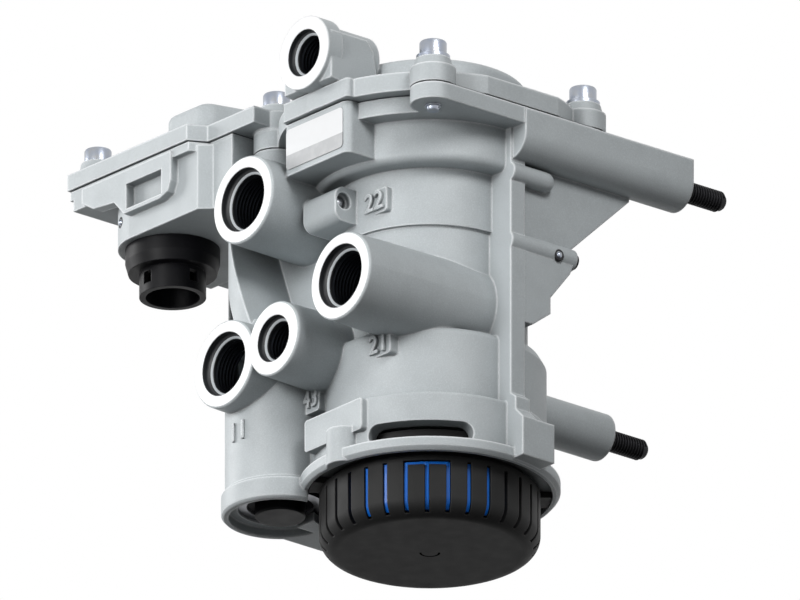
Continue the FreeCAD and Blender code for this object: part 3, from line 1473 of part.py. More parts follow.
def electronics_cover():
    """The cover plate with its raised chamber, bolt bosses and the ear that reaches over the lid."""
    plate = house_plan("Cover_plate", COVER_BOTTOM, "cover_thickness", "0", "cover_end")
    x, y = EAR
    ear = cylinder("lid_corner", "(%s) - (%s)" % (COVER_TOP, LID_TOP), (x, y, LID_TOP))
    bump = extruded("Bump", "XY_Plane", [
        ("-cover_step_at - 22", "-house_front + 6"),
        ("-cover_step_at + 2", "-house_front + 6"),
        ("-cover_step_at + 7", "-house_front + 26"),
        ("-cover_step_at + 7", "-house_front + 34"),
        ("-cover_step_at + 1", "-house_front + 43"),
        ("-cover_step_at + 1", "house_back - 6"),
        ("-cover_step_at - 22", "house_back - 6"),
    ], "bump_height + 2", ("0", "0", COVER_TOP + " - 2"), rounding="6")
    rounded(bump, bump.Tip, "3", lambda edge: abs(edge.CenterOfMass.z - value("bump_height + 2")) < TINY)
    chamber = block("-cover_step_at - 18", "-cover_step_at - 2", "-house_front + 12", "house_back - 10",
                    COVER_BOTTOM + " - 1", COVER_TOP + " + bump_height - 3.5")
    bosses = [cone("cover_corner - 0.8", "washer_radius", "bolt_boss_height", (a, b, COVER_TOP))
              for a, b in [*house_bolts(), EAR]]
    holes = [cylinder("bolt_radius", "24", (a, b, LID_TOP + " - 2")) for a, b in [*house_bolts(), EAR]]
    solid = joined(plate, ear, bump, *bosses)
    return node("electronics_cover", without(solid, chamber, *holes))


def electronics_fasteners():
    """The cover's three short screws and the long one through the ear, and the wing screws."""
    seat = COVER_TOP + " + bolt_boss_height"
    short = [screw(x, y, BOSS_BOTTOM, seat) for x, y in house_bolts()]
    x, y = EAR
    long = screw(x, y, HEAD_TOP + " - bolt_tip", seat)
    node("electronics_bolts", grouped(*short, long))
    wing_screws = []
    tip = "house_wall - 0.3 * bolt_radius"
    seat = "plate_thickness - house_back + " + tip
    for x, z in wing_screw_places():
        wing_screws.append(turned("Wing_screw", [
            ("0", "0"), ("bolt_radius", "0"), ("bolt_radius", seat), ("bolt_head_radius", seat),
            ("bolt_head_radius", seat + " + 0.6 * bolt_head_height"),
            ("0", seat + " + 0.6 * bolt_head_height"),
        ], (x, "house_back - (%s)" % tip, z), TO_BACK))
    return node("wing_screws", grouped(*wing_screws))


def connector():
    """The round connector socket that opens downwards, its seal and its four pins."""
    at = ("-plug_side", "-plug_front", "house_bottom")
    low = "-plug_ring_height"
    shell = turned("Socket", [
        ("plug_bore", low + " - plug_barrel_height"),
        ("plug_barrel", low + " - plug_barrel_height"),
        ("plug_barrel", low),
        ("plug_ring - plug_ring_chamfer", low),
        ("plug_ring", low + " + plug_ring_slope"),
        ("plug_ring", "0"),
        ("plug_spigot + plug_seal_outer", "0"), ("plug_spigot + plug_seal_outer", "-plug_seal_groove"),
        ("plug_spigot + plug_seal_inner", "-plug_seal_groove"), ("plug_spigot + plug_seal_inner", "0"),
        ("plug_spigot", "0"), ("plug_spigot", "house_wall + plug_rise"),
        ("0", "house_wall + plug_rise"), ("0", "1"), ("plug_bore", "1"),
    ], at)
    pins, holes = [], []
    for across, along in ((1, 0), (0, 1), (-1, 0), (0, -1)):
        x = "-plug_side + %d * plug_pin_circle" % across
        y = "-plug_front + %d * plug_pin_circle" % along
        low_end = "house_bottom - plug_pin_length"
        pins.append(cylinder("plug_pin", "(%s) - (%s)" % (BOARD_LEVEL, low_end), (x, y, low_end)))
        holes.append(cylinder("plug_pin", "8", (x, y, "house_bottom - overshoot")))
    slot_low = "house_bottom - plug_ring_height - plug_slot_low"
    slot_high = "house_bottom - plug_ring_height - plug_slot_high"
    slots = [
        block("-plug_side - plug_slot_half", "-plug_side + plug_slot_half",
              "-plug_front - plug_barrel - overshoot", "-plug_front - plug_bore + overshoot",
              slot_low, slot_high),
        block("-plug_side + plug_bore - overshoot", "-plug_side + plug_barrel + overshoot",
              "-plug_front - plug_slot_half", "-plug_front + plug_slot_half", slot_low, slot_high),
    ]
    node("connector_socket", without(shell, *holes, *slots))
    node("connector_seal", ring("plug_spigot + plug_seal_inner", "plug_spigot + plug_seal_outer",
                                  "-plug_seal_groove + seal_gap", "0", at))
    return node("connector_pins", grouped(*pins))


def electronics():
    """The circuit board on its posts and the two pressure sensors under it."""
    board = block("-plug_side - board_left", "-lid_half_width - house_wall - board_right",
                  "-house_front + board_front", "house_back - house_wall - clearance",
                  BOARD_LEVEL, BOARD_LEVEL + " + board_thickness")
    x, y = house_bolts()[-1]
    notch = cylinder("boss_radius + 0.8", "4", (x, y, BOARD_LEVEL + " - 1"))
    node("circuit_board", without(board, notch))
    sensors = []
    first = "-lid_half_width - house_wall - 2 * sensor_radius"
    height = "(%s) - (%s)" % (BOARD_LEVEL, HOUSE_FLOOR)
    for x in (first, first + " - sensor_spacing"):
        sensors.append(turned("Sensor", [
            ("0", "0"), ("sensor_radius", "0"), ("sensor_radius", "sensor_height"),
            ("sensor_neck", "sensor_height + sensor_shoulder"), ("sensor_neck", height), ("0", height),
        ], (x, "-house_front + sensor_front", HOUSE_FLOOR)))
    return node("pressure_sensors", grouped(*sensors))


def solenoids():
    """Three solenoids in a row: coil, core tube, armature and its return spring."""
    for number, name in enumerate(("left", "middle", "right")):
        x = "-lid_half_width - house_wall - coil_radius - coil_gap - %d * coil_spacing" % (2 - number)
        at = (x, "house_back - house_wall - ledge_depth - coil_radius - clearance", HOUSE_FLOOR)
        bore = "armature_radius + running_fit"
        tube = "armature_radius + core_wall"
        node("coil_" + name, ring(tube, "coil_radius", "0", "coil_height", at))
        node("core_tube_" + name, turned("Core", [
            (bore, "0"), (tube, "0"), (tube, "coil_height"), ("0", "coil_height"),
            ("0", "coil_height - core_end"), (bore, "coil_height - core_end"),
        ], at))
        node("armature_" + name, turned("Armature", [
            ("0", "clearance"), ("armature_radius - armature_chamfer", "clearance"),
            ("armature_radius", "clearance + armature_chamfer"),
            ("armature_radius", "clearance + armature_length"), ("0", "clearance + armature_length"),
        ], at))
        spring("armature_spring_" + name, "armature_radius - 1", "clearance + armature_length",
               "coil_height - core_end", 2, at, "0.35 * spring_wire")


def check_and_write():
    """Stops on any failed object, then writes one file for each finished sub-part."""
    doc.recompute()
    failed = [item.Name for item in doc.Objects if "Invalid" in item.State or "Error" in item.State]
    if failed:
        raise RuntimeError("failed objects: " + ", ".join(failed))
    for obj in finished:
        if obj.Shape.isNull() or not obj.Shape.isValid() or obj.Shape.Volume <= 0:
            raise RuntimeError("bad shape: " + obj.Label)
    os.makedirs("parts", exist_ok=True)
    for obj in finished:
        obj.Shape.exportStep("parts/%s.step" % obj.Label)
        print("%-28s %9.0f mm3 %d solid(s)" % (obj.Label, obj.Shape.Volume, len(obj.Shape.Solids)))


def main():
    fill_sheet()
    valve_body()
    studs()
    top_cover()
    cover_gasket()
    cover_fasteners()
    name_label()
    electronics_housing()
    electronics_gasket()
    electronics_cover()
    electronics_fasteners()
    connector()
    electronics()
    solenoids()
    silencer_cap()
    silencer_insert()
    exhaust_guide()
    inlet_valve()
    spring("valve_spring", "valve_stem + 2.6", GUIDE_TOP, VALVE_TOP + " - valve_disc_thickness", 3)
    relay_piston()
    control_piston()
    tower_pieces()
    small_plugs()
    check_and_write()


main()
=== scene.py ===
"""The looks of a brake control valve: cast aluminium, machined ports, screws, threads and a silencer.

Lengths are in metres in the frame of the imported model. The axis of the main valve is X = 0, Y = 0, the
ports look along -Y and the studs point along +Y.
"""
import json
import math

import bmesh
import bpy
from mathutils import Matrix, Vector


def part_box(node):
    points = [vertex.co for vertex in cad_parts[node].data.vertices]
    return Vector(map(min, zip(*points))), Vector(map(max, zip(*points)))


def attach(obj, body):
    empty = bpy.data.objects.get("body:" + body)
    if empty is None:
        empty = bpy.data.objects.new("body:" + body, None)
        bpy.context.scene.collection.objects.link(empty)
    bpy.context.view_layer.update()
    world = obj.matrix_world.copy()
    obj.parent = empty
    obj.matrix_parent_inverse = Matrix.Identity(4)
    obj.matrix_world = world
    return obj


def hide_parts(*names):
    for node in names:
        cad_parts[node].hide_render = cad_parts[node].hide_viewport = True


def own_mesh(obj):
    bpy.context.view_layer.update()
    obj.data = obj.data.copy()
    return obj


bl_info = {
    "name": "Brake control valve",
    "version": (1, 0, 0),
    "blender": (4, 5, 0),
    "location": "View3D > Sidebar > Valve",
    "description": "Finishes a packed brake control valve and sets it on a plain stage",
    "category": "Object",
}

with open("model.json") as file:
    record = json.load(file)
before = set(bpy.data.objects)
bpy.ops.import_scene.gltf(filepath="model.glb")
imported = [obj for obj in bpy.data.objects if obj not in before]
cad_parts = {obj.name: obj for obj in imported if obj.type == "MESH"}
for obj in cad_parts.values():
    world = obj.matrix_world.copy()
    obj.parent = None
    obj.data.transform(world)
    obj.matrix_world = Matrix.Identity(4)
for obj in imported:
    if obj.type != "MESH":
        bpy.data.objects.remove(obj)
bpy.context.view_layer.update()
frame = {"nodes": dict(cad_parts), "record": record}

MM = 0.001
UP = Vector((0, 0, 1))
TO_BACK = Vector((0, 1, 0))
MAIN_BODY = "valve"
FINISH = "_finish"
MERGED = 0.001 * MM


def mount(name):
    """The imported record's mount of that name."""
    return next(m for m in frame["record"]["mounts"] if m["name"] == name)


def centre_of(node):
    low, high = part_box(node)
    return (low + high) / 2


def around(angle):
    """The level direction at an angle from +X towards +Y."""
    return Vector((math.cos(angle), math.sin(angle), 0))


def shade(colour, times, more=0.0):
    """A colour made darker or lighter, at most white."""
    return [min(part * times + more, 1) for part in colour]


PORTS = {name: mount(name) for name in (
    "upper_delivery_port", "lower_delivery_port", "supply_port", "pilot_port", "control_port")}
STUDS = {"upper_stud_right": "upper_right_stud", "upper_stud_left": "upper_left_stud",
         "lower_stud": "lower_stud"}
PORT_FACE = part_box("top_cover")[0].y

# half the width of a thread's ridge at its root and at its crest, as a share of the pitch
ROOT_SHARE = 0.46
CREST_SHARE = 0.1

# pitches of a stud without thread: inside the arm, before the outer thread and in all outside
BARE_INSIDE = 2.5
BARE_START = 0.8
BARE_OUTSIDE = 1.8

# the ports' machined faces, chamfers and bores
FACE_SKIN = 0.06 * MM
BORE_START = 0.1 * MM
BORE_END = 30 * MM
MOUTH_SHARE = 1.25
CHAMFER_INSIDE = 0.1 * MM
CHAMFER_OUTSIDE = 0.9 * MM
CHAMFER_END = 4.2 * MM

# the silencer's gate mark, an arc on the underside that is open to the front right
GATE_MARK = 3.4 * MM
GATE_LINE = 0.4 * MM
GATE_OPENING = (0.76, -0.65)

# the next colour is the painted highlight on cast edges
PAINTED_EDGE_HIGHLIGHT = (0.93, 0.96, 0.98)
CHAMFER_LIGHT = (0.50, 0.53, 0.55)
# the next colour is the painted shade inside the port bores
BORE_PAINTED_SHADE = (0.006, 0.007, 0.009)
MARK_DARK = (0.001, 0.001, 0.001)

# how much finer marks are along each axis
ALIKE = (1, 1, 1)
FIBRES = (1, 1, 4)
ROUND_MARKS = (1, 1, 14)
WOUND_MARKS = (1, 1, 20)

# the radius of each kind of spring's wire, and how many turns stand open
SPRING_WIRES = {"valve": 0.8 * MM, "armature": 0.28 * MM}
SPRING_TURNS = 3

# a cover screw: its thread's depth as a share of the pitch, and the threaded part of its shank
SCREW_DEPTH = 0.55
SCREW_THREADED = 0.6
MOST_THREADED = 18 * MM

# the six-sided socket as shares of the head's radius, and its depth as a share of the head's height
SOCKET_MOUTH = 0.62
SOCKET_RADIUS = 0.50
SOCKET_LOBES = 0.10
SOCKET_DEPTH = 0.55
SOCKET_SIDES = 6
SOCKET_STEPS = 48

# screws of one node stand farther apart than this
SCREW_GAP = 14 * MM

BAR_STEPS = 16

OWN_FINISH = {"silencer_cap": "silencer_plastic"}

# the grey field's share of the label's height
FIELD_SHARE = 0.36

# the middle of each port number on its pad, and the share of their width that its digits keep
NUMBERS = {
    "22": (Vector((9.6, -34.6, 125.2)) * MM, 1),
    "21": (Vector((15.4, -37.4, 67.4)) * MM, 1),
    "43": (Vector((-22.0, -37.9, 57.0)) * MM, 0.8),
    "11": (Vector((-44.8, -53.3, 47.2)) * MM, 1),
}
ON_TOWER = "11"
TOWER_RADIUS = 20.2 * MM

# the size of the typeface over the height of its digits
FONT_SHARE = 1.35

# the middle and the outward direction of each small pressed-in ball
BALLS = {
    "lug_ball": (Vector((46.4, 22.3, 108.2)) * MM, Vector((1, 0, 0))),
    "housing_ball": (Vector((-112.0, -52.2, 149.6)) * MM, Vector((-0.38, -0.925, 0))),
}

# each lamp's direction from the valve and the length of its side
LAMPS = {
    "key": ((0.12, -1.0, 0.10), 0.28),
    "left": ((-1.0, -0.6, 0.30), 0.30),
    "right": ((1.0, -0.28, 0.60), 0.28),
    "top": ((-0.2, 0.3, 1.0), 0.50),
    "under": ((0.55, -0.75, -0.5), 0.40),
}
LAMP_DISTANCE = 0.85
LAMP_SPREAD = math.radians(80)


class CastSettings(bpy.types.PropertyGroup):
    """Colour and grain of the cast aluminium, and how far its painted edge highlights and corner shade reach.
    """
    colour: bpy.props.FloatVectorProperty(
        name="Cast colour", description="Colour of the bare casting", subtype="COLOR",
        size=3, min=0, max=1, default=(0.455, 0.49, 0.505))
    bright: bpy.props.FloatVectorProperty(
        name="Machined colour", description="Colour of the machined faces", subtype="COLOR",
        size=3, min=0, max=1, default=(0.90, 0.91, 0.92))
    edge_round: bpy.props.FloatProperty(
        name="Edge round", description="Radius at which cast edges catch the light", unit="LENGTH",
        default=1.3 * MM, min=0)
    # how far from corners and gaps the cast gets painted shade
    corner_shade_reach: bpy.props.FloatProperty(
        name="Corner shade", description="Width of the gaps and corners that look darker", unit="LENGTH",
        default=14 * MM, min=0.1 * MM)
    grain: bpy.props.FloatProperty(
        name="Grain", description="Size of the sand-like grain of the skin", unit="LENGTH",
        default=0.45 * MM, min=0.05 * MM)


class ThreadSettings(bpy.types.PropertyGroup):
    """Thread pitches."""
    port_pitch: bpy.props.FloatProperty(
        name="Port pitch", description="Pitch of the port threads", unit="LENGTH", default=1.5 * MM)
    stud_pitch: bpy.props.FloatProperty(
        name="Stud pitch", description="Pitch of the stud threads", unit="LENGTH", default=1.25 * MM)
    screw_pitch: bpy.props.FloatProperty(
        name="Screw pitch", description="Pitch of the cover screws", unit="LENGTH", default=1.0 * MM)


class StageSettings(bpy.types.PropertyGroup):
    """Camera, lamps and floor."""
    azimuth: bpy.props.FloatProperty(
        name="Azimuth", description="Direction of the photograph's view about +Z", subtype="ANGLE",
        default=math.radians(49.74))
    elevation: bpy.props.FloatProperty(
        name="Elevation", description="Height of the photograph's view above the horizon",
        subtype="ANGLE", default=math.radians(-21.58))
    view_width: bpy.props.FloatProperty(
        name="View width", description="Width that the frame takes in at the valve", unit="LENGTH",
        default=290.9 * MM)
    distance: bpy.props.FloatProperty(
        name="Distance", description="Distance of the camera from the origin's view plane",
        unit="LENGTH", default=0.85)
    view_right: bpy.props.FloatProperty(
        name="View right", description="How far the frame's middle lies right of the origin",
        unit="LENGTH", default=-10.84 * MM)
    view_up: bpy.props.FloatProperty(
        name="View up", description="How far the frame's middle lies above the origin",
        unit="LENGTH", default=92.0 * MM)
    floor_level: bpy.props.FloatProperty(
        name="Floor level", description="Height of the floor under the held valve", unit="LENGTH",
        default=-0.46)
    floor_radius: bpy.props.FloatProperty(
        name="Floor radius", description="Radius of the round floor", unit="LENGTH", default=0.9)


def settings(group):
    return getattr(bpy.context.scene, "valve_" + group)


class Shader:
    """One material under construction: its nodes, its surface shader and short ways to link them."""

    def __init__(self, name, colour, roughness, metallic=0.0, **sockets):
        self.material = bpy.data.materials.new(name + FINISH)
        self.material.use_nodes = True
        self.nodes = self.material.node_tree.nodes
        self.links = self.material.node_tree.links
        self.surface = self.nodes["Principled BSDF"]
        self.put("Base Color", (*colour, 1))
        self.put("Roughness", roughness)
        self.put("Metallic", metallic)
        for socket, amount in sockets.items():
            self.put(socket.replace("_", " "), amount)
        self.colour = (*colour, 1)
        self.roughness = roughness
        self.normal = None

    def put(self, socket, amount):
        self.surface.inputs[socket].default_value = amount

    def add(self, kind, inputs=(), **fields):
        node = self.nodes.new(kind)
        for field, choice in fields.items():
            setattr(node, field, choice)
        for socket, source in dict(inputs).items():
            self.feed(node.inputs[socket], source)
        return node

    def feed(self, socket, source):
        if isinstance(source, bpy.types.NodeSocket):
            self.links.new(source, socket)
        else:
            socket.default_value = source

    def place(self, scale=ALIKE):
        """Object coordinates, scaled."""
        coordinates = self.add("ShaderNodeTexCoord").outputs["Object"]
        return self.add("ShaderNodeVectorMath", {0: coordinates, 1: scale}, operation="MULTIPLY").outputs[0]

    def axes(self):
        """The three object coordinates, one by one."""
        return self.add("ShaderNodeSeparateXYZ", {0: self.place()}).outputs

    def noise(self, size, detail=2.0, stretch=ALIKE):
        """Noise with features of about that size in metres."""
        return self.add("ShaderNodeTexNoise", {
            "Vector": self.place(stretch), "Scale": 1 / size, "Detail": detail}).outputs["Fac"]

    def maths(self, operation, *values):
        return self.add("ShaderNodeMath", dict(enumerate(values)), operation=operation).outputs[0]

    def product(self, first, *others):
        for other in others:
            first = self.maths("MULTIPLY", first, other)
        return first

    def length(self, first, second):
        """The length of a step with two parts at right angles."""
        squares = [self.product(part, part) for part in (first, second)]
        return self.maths("SQRT", self.maths("ADD", *squares))

    def spread(self, source, low, high, start=0.0, end=1.0):
        """Maps source from start..end to low..high and holds it there."""
        return self.add("ShaderNodeMapRange", {
            "Value": source, "From Min": start, "From Max": end, "To Min": low, "To Max": high,
        }).outputs["Result"]

    def tint(self, mask, colour):
        """Moves the surface colour towards a colour by a mask."""
        mix = self.add("ShaderNodeMix", {"Factor": mask}, data_type="RGBA")
        current = self.surface.inputs["Base Color"]
        start = current.links[0].from_socket if current.is_linked else self.colour
        self.feed(mix.inputs["A"], start)
        self.feed(mix.inputs["B"], (*colour, 1))
        self.links.new(mix.outputs["Result"], current)

    def polish(self, mask, roughness):
        """Moves the roughness towards a value by a mask."""
        mix = self.add("ShaderNodeMix", {"Factor": mask}, data_type="FLOAT")
        current = self.surface.inputs["Roughness"]
        start = current.links[0].from_socket if current.is_linked else self.roughness
        self.feed(mix.inputs["A"], start)
        self.feed(mix.inputs["B"], roughness)
        self.links.new(mix.outputs["Result"], current)

    def bump(self, height, depth, strength=1.0):
        node = self.add("ShaderNodeBump", {"Height": height, "Distance": depth, "Strength": strength})
        if self.normal is not None:
            self.links.new(self.normal, node.inputs["Normal"])
        self.normal = node.outputs["Normal"]
        self.links.new(self.normal, self.surface.inputs["Normal"])

    def soft_edges(self, radius, samples=6):
        """Rounds the shading of edges and returns a mask that is 1 on them."""
        node = self.add("ShaderNodeBevel", {"Radius": radius}, samples=samples)
        self.normal = node.outputs["Normal"]
        self.links.new(self.normal, self.surface.inputs["Normal"])
        plain = self.add("ShaderNodeNewGeometry").outputs["Normal"]
        along = self.add("ShaderNodeVectorMath", {0: node.outputs["Normal"], 1: plain},
                         operation="DOT_PRODUCT").outputs["Value"]
        return self.spread(along, 1.0, 0.0, start=0.90, end=0.997)

    def painted_corner_shade(self, reach, samples=4):
        """A mask for painted shade that grows to 1 in corners and gaps narrower than reach."""
        node = self.add("ShaderNodeAmbientOcclusion", {"Distance": reach}, samples=samples)
        return self.spread(node.outputs["AO"], 1.0, 0.0, start=0.15, end=0.80)


def port_masks(shader):
    """Masks for the machined port faces, the painted shade in the bores behind them and the bright chamfers
    between.
    """
    x, y, z = shader.axes()
    face = shader.maths("LESS_THAN", y, PORT_FACE + FACE_SKIN)
    inside, chamfer = 0.0, 0.0
    for port in PORTS.values():
        across = shader.maths("SUBTRACT", x, port["pos_m"][0])
        above = shader.maths("SUBTRACT", z, port["pos_m"][2])
        away = shader.length(across, above)
        bore = port["dims"]["r_mm"] * MM
        near = shader.maths("LESS_THAN", away, MOUTH_SHARE * bore)
        inside = shader.maths("MAXIMUM", inside, near)
        sloped = shader.product(shader.maths("GREATER_THAN", away, bore + CHAMFER_INSIDE),
                                shader.maths("LESS_THAN", away, bore + CHAMFER_OUTSIDE))
        chamfer = shader.maths("MAXIMUM", chamfer, sloped)
    deep = shader.maths("GREATER_THAN", y, PORT_FACE + BORE_START)
    shallow = shader.maths("LESS_THAN", y, PORT_FACE + BORE_END)
    bore_painted_shade = shader.product(inside, deep, shallow)
    at_chamfer = shader.maths("LESS_THAN", y, PORT_FACE + CHAMFER_END)
    bright = shader.product(chamfer, deep, at_chamfer)
    return face, bore_painted_shade, bright


def cast_material():
    """Bare cast aluminium: sand-like grain, painted highlights on soft edges, painted shade in corners and
    bores, white machined port faces.
    """
    cast = settings("cast")
    shader = Shader("cast_aluminium", cast.colour, 0.5)
    edges = shader.soft_edges(cast.edge_round)
    cloud = shader.noise(9 * MM, 3)
    grain = shader.noise(cast.grain, 3)
    painted_corner_shade = shader.painted_corner_shade(cast.corner_shade_reach)
    shader.tint(shader.spread(cloud, 0.0, 0.35, start=0.42, end=0.72), shade(cast.colour, 0.84))
    shader.tint(shader.spread(grain, 0.0, 0.45, start=0.45, end=0.75), shade(cast.colour, 1.35))
    # painted highlight on the cast's edges
    shader.tint(shader.product(edges, 0.95), PAINTED_EDGE_HIGHLIGHT)
    # painted shade in corners and gaps
    shader.tint(shader.product(painted_corner_shade, 0.8), shade(cast.colour, 0.2))
    shader.polish(shader.spread(cloud, 0.0, 0.6, start=0.4, end=0.7), 0.58)
    face, bore_painted_shade, chamfer = port_masks(shader)
    shader.tint(face, cast.bright)
    shader.polish(face, 0.3)
    # painted shade inside the port bores
    shader.tint(bore_painted_shade, BORE_PAINTED_SHADE)
    shader.tint(chamfer, CHAMFER_LIGHT)
    shader.bump(grain, 0.10 * MM, 0.8)
    shader.bump(cloud, 0.25 * MM, 0.25)
    return shader.material


def moulded(name, colour, roughness, size, depth, coat=0.0, sheen=0.25):
    """The shader of moulded plastic or rubber, with a fine even texture and slight clouding."""
    shader = Shader(name, colour, roughness, Coat_Weight=coat, Specular_IOR_Level=sheen)
    edges = shader.soft_edges(0.5 * MM, 4)
    cloud = shader.noise(6 * MM, 2)
    shader.tint(shader.spread(cloud, 0.0, 0.4, start=0.4, end=0.75), shade(colour, 1.5))
    # painted highlight on the edges
    shader.tint(shader.product(edges, 0.35), shade(colour, 2.6, 0.02))
    shader.polish(shader.spread(cloud, 0.0, 0.5, start=0.35, end=0.7), min(roughness + 0.14, 1))
    shader.bump(shader.noise(size, 2), depth, 0.6)
    return shader


def moulded_material(*choices):
    return moulded(*choices).material


def silencer_material():
    """Black moulded plastic with the dark arc of the gate mark in the middle of its underside."""
    sheen = 0.15
    shader = moulded("silencer_plastic", (0.017, 0.017, 0.017), 0.55, 0.35 * MM, 0.03 * MM, 0.0, sheen)
    x, y, z = shader.axes()
    off = shader.maths("ABSOLUTE", shader.maths("SUBTRACT", shader.length(x, y), GATE_MARK))
    line = shader.maths("LESS_THAN", off, GATE_LINE)
    along = shader.maths("ADD", shader.product(x, GATE_OPENING[0]), shader.product(y, GATE_OPENING[1]))
    arc = shader.maths("LESS_THAN", along, 0.1 * GATE_MARK)
    under = shader.maths("LESS_THAN", z, 0.1 * MM)
    mark = shader.product(line, arc, under)
    shader.tint(mark, MARK_DARK)
    shader.feed(shader.surface.inputs["Specular IOR Level"], shader.spread(mark, sheen, 0.0))
    return shader.material


def metal_material(name, colour, roughness, stretch=ALIKE, size=0.5 * MM, depth=0.02 * MM, stained=0.72):
    """Turned, drawn or plated metal with fine marks along one direction."""
    shader = Shader(name, colour, roughness, 1.0)
    edges = shader.soft_edges(0.25 * MM, 4)
    marks = shader.noise(size, 2, stretch)
    stain = shader.noise(3.5 * MM, 3)
    shader.tint(shader.spread(stain, 0.0, 0.6, start=0.4, end=0.75), shade(colour, stained))
    # painted highlight on the edges
    shader.tint(shader.product(edges, 0.4), shade(colour, 1.25))
    shader.polish(shader.spread(marks, 0.0, 0.5, start=0.35, end=0.7), min(roughness + 0.15, 1))
    shader.bump(marks, depth, 0.5)
    return shader.material


def zinc_material():
    """Zinc plate with a faint blue to yellow shimmer."""
    shader = Shader("zinc_steel", (0.34, 0.365, 0.41), 0.3, 1.0)
    edges = shader.soft_edges(0.3 * MM, 4)
    shimmer = shader.noise(2.5 * MM, 2)
    shader.tint(shader.spread(shimmer, 0.0, 0.5, start=0.45, end=0.7), (0.26, 0.30, 0.40))
    shader.tint(shader.spread(shimmer, 0.35, 0.0, start=0.3, end=0.45), (0.40, 0.385, 0.36))
    # painted highlight on the edges
    shader.tint(shader.product(edges, 0.5), (0.75, 0.77, 0.80))
    shader.bump(shader.noise(0.3 * MM, 2), 0.015 * MM, 0.5)
    return shader.material


def board_material():
    """Lacquered circuit board with copper tracks under the lacquer."""
    shader = Shader("board", (0.02, 0.16, 0.07), 0.3, Coat_Weight=0.6)
    tracks = shader.add("ShaderNodeTexBrick", {
        "Vector": shader.place(), "Scale": 1 / (4 * MM), "Mortar Size": 0.03,
    }, offset=0.5).outputs["Fac"]
    shader.tint(shader.product(tracks, 0.7), (0.06, 0.32, 0.13))
    shader.tint(shader.spread(shader.noise(5 * MM, 2), 0, 0.3, start=0.4, end=0.7), (0.01, 0.10, 0.05))
    shader.bump(tracks, 0.03 * MM, 0.6)
    return shader.material


def felt_material():
    """Pressed fibre packing."""
    shader = Shader("felt", (0.50, 0.48, 0.43), 0.95)
    fibres = shader.noise(0.8 * MM, 6, FIBRES)
    shader.tint(shader.spread(fibres, 0, 0.8, start=0.35, end=0.65), (0.30, 0.28, 0.25))
    shader.bump(fibres, 0.4 * MM, 0.9)
    return shader.material


def label_material():
    """Blank white film with a grey field in its lower part."""
    low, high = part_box("name_label")
    shader = Shader("blank_label", (0.72, 0.73, 0.74), 0.5)
    field = shader.maths("LESS_THAN", shader.axes()[2], low.z + FIELD_SHARE * (high.z - low.z))
    shader.tint(shader.product(field, 0.8), (0.36, 0.37, 0.38))
    shader.tint(shader.spread(shader.noise(4 * MM, 3), 0, 0.25, start=0.45, end=0.7), (0.66, 0.67, 0.67))
    shader.bump(shader.noise(0.4 * MM, 2), 0.01 * MM, 0.4)
    return shader.material


MAKERS = {
    "cast_aluminium": cast_material,
    # the port threads are cut in the cast; their near-black colour is painted shade
    "bore_thread": lambda: metal_material("bore_thread", (0.008, 0.009, 0.011), 0.5),
    "silencer_plastic": silencer_material,
    "turned_aluminium": lambda: metal_material("turned_aluminium", (0.66, 0.67, 0.69), 0.3, ROUND_MARKS),
    "black_steel": lambda: metal_material("black_steel", (0.022, 0.022, 0.024), 0.45),
    "spring_steel": lambda: metal_material("spring_steel", (0.36, 0.37, 0.39), 0.3, ROUND_MARKS),
    "core_steel": lambda: metal_material("core_steel", (0.50, 0.51, 0.53), 0.25, ROUND_MARKS),
    "zinc_steel": zinc_material,
    "gasket_sheet": lambda: moulded_material("gasket_sheet", (0.055, 0.06, 0.065), 0.75, 0.5 * MM, 0.04 * MM),
    "seal_rubber": lambda: moulded_material("seal_rubber", (0.02, 0.02, 0.022), 0.6, 0.4 * MM, 0.02 * MM),
    "black_plastic": lambda: moulded_material(
        "black_plastic", (0.004, 0.004, 0.005), 0.42, 0.35 * MM, 0.02 * MM, 0.0, 0.12),
    "blue_plastic": lambda: moulded_material(
        "blue_plastic", (0.0, 0.12, 0.55), 0.4, 0.5 * MM, 0.02 * MM, 0.1),
    "felt": felt_material,
    "blank_label": label_material,
    "brass_contact": lambda: metal_material("brass_contact", (0.75, 0.58, 0.26), 0.28, ROUND_MARKS),
    "board": board_material,
    "coil_copper": lambda: metal_material(
        "coil_copper", (0.70, 0.34, 0.16), 0.32, WOUND_MARKS, 0.6 * MM, 0.08 * MM, 0.5),
}


def finish(name):
    """The finish of that name, made on first use."""
    return bpy.data.materials.get(name + FINISH) or MAKERS[name]()


def dress_node(name):
    """Gives a CAD node the finish of its slot, or one of its own."""
    rows = frame["record"]["subparts"]
    slot = next(row["material_slot"] for row in rows if row["node"] == name)
    node = frame["nodes"][name]
    node.data.materials.clear()
    node.data.materials.append(finish(OWN_FINISH.get(name, slot)))


def add_piece(name, shape, slot, stands_for=(), smooth_angle=35, own_finish=None):
    """Turns a bmesh into a finished piece that rides on the main body."""
    bmesh.ops.remove_doubles(shape, verts=shape.verts, dist=MERGED)
    bmesh.ops.recalc_face_normals(shape, faces=shape.faces)
    limit = math.radians(smooth_angle)
    for edge in shape.edges:
        edge.smooth = len(edge.link_faces) == 2 and edge.calc_face_angle(0) < limit
    for face in shape.faces:
        face.smooth = True
    mesh = bpy.data.meshes.new(name)
    shape.to_mesh(mesh)
    shape.free()
    piece = bpy.data.objects.new(name, mesh)
    bpy.context.scene.collection.objects.link(piece)
    mesh.materials.append(finish(own_finish or slot))
    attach(piece, MAIN_BODY)
    if stands_for:
        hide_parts(*stands_for)
    return piece


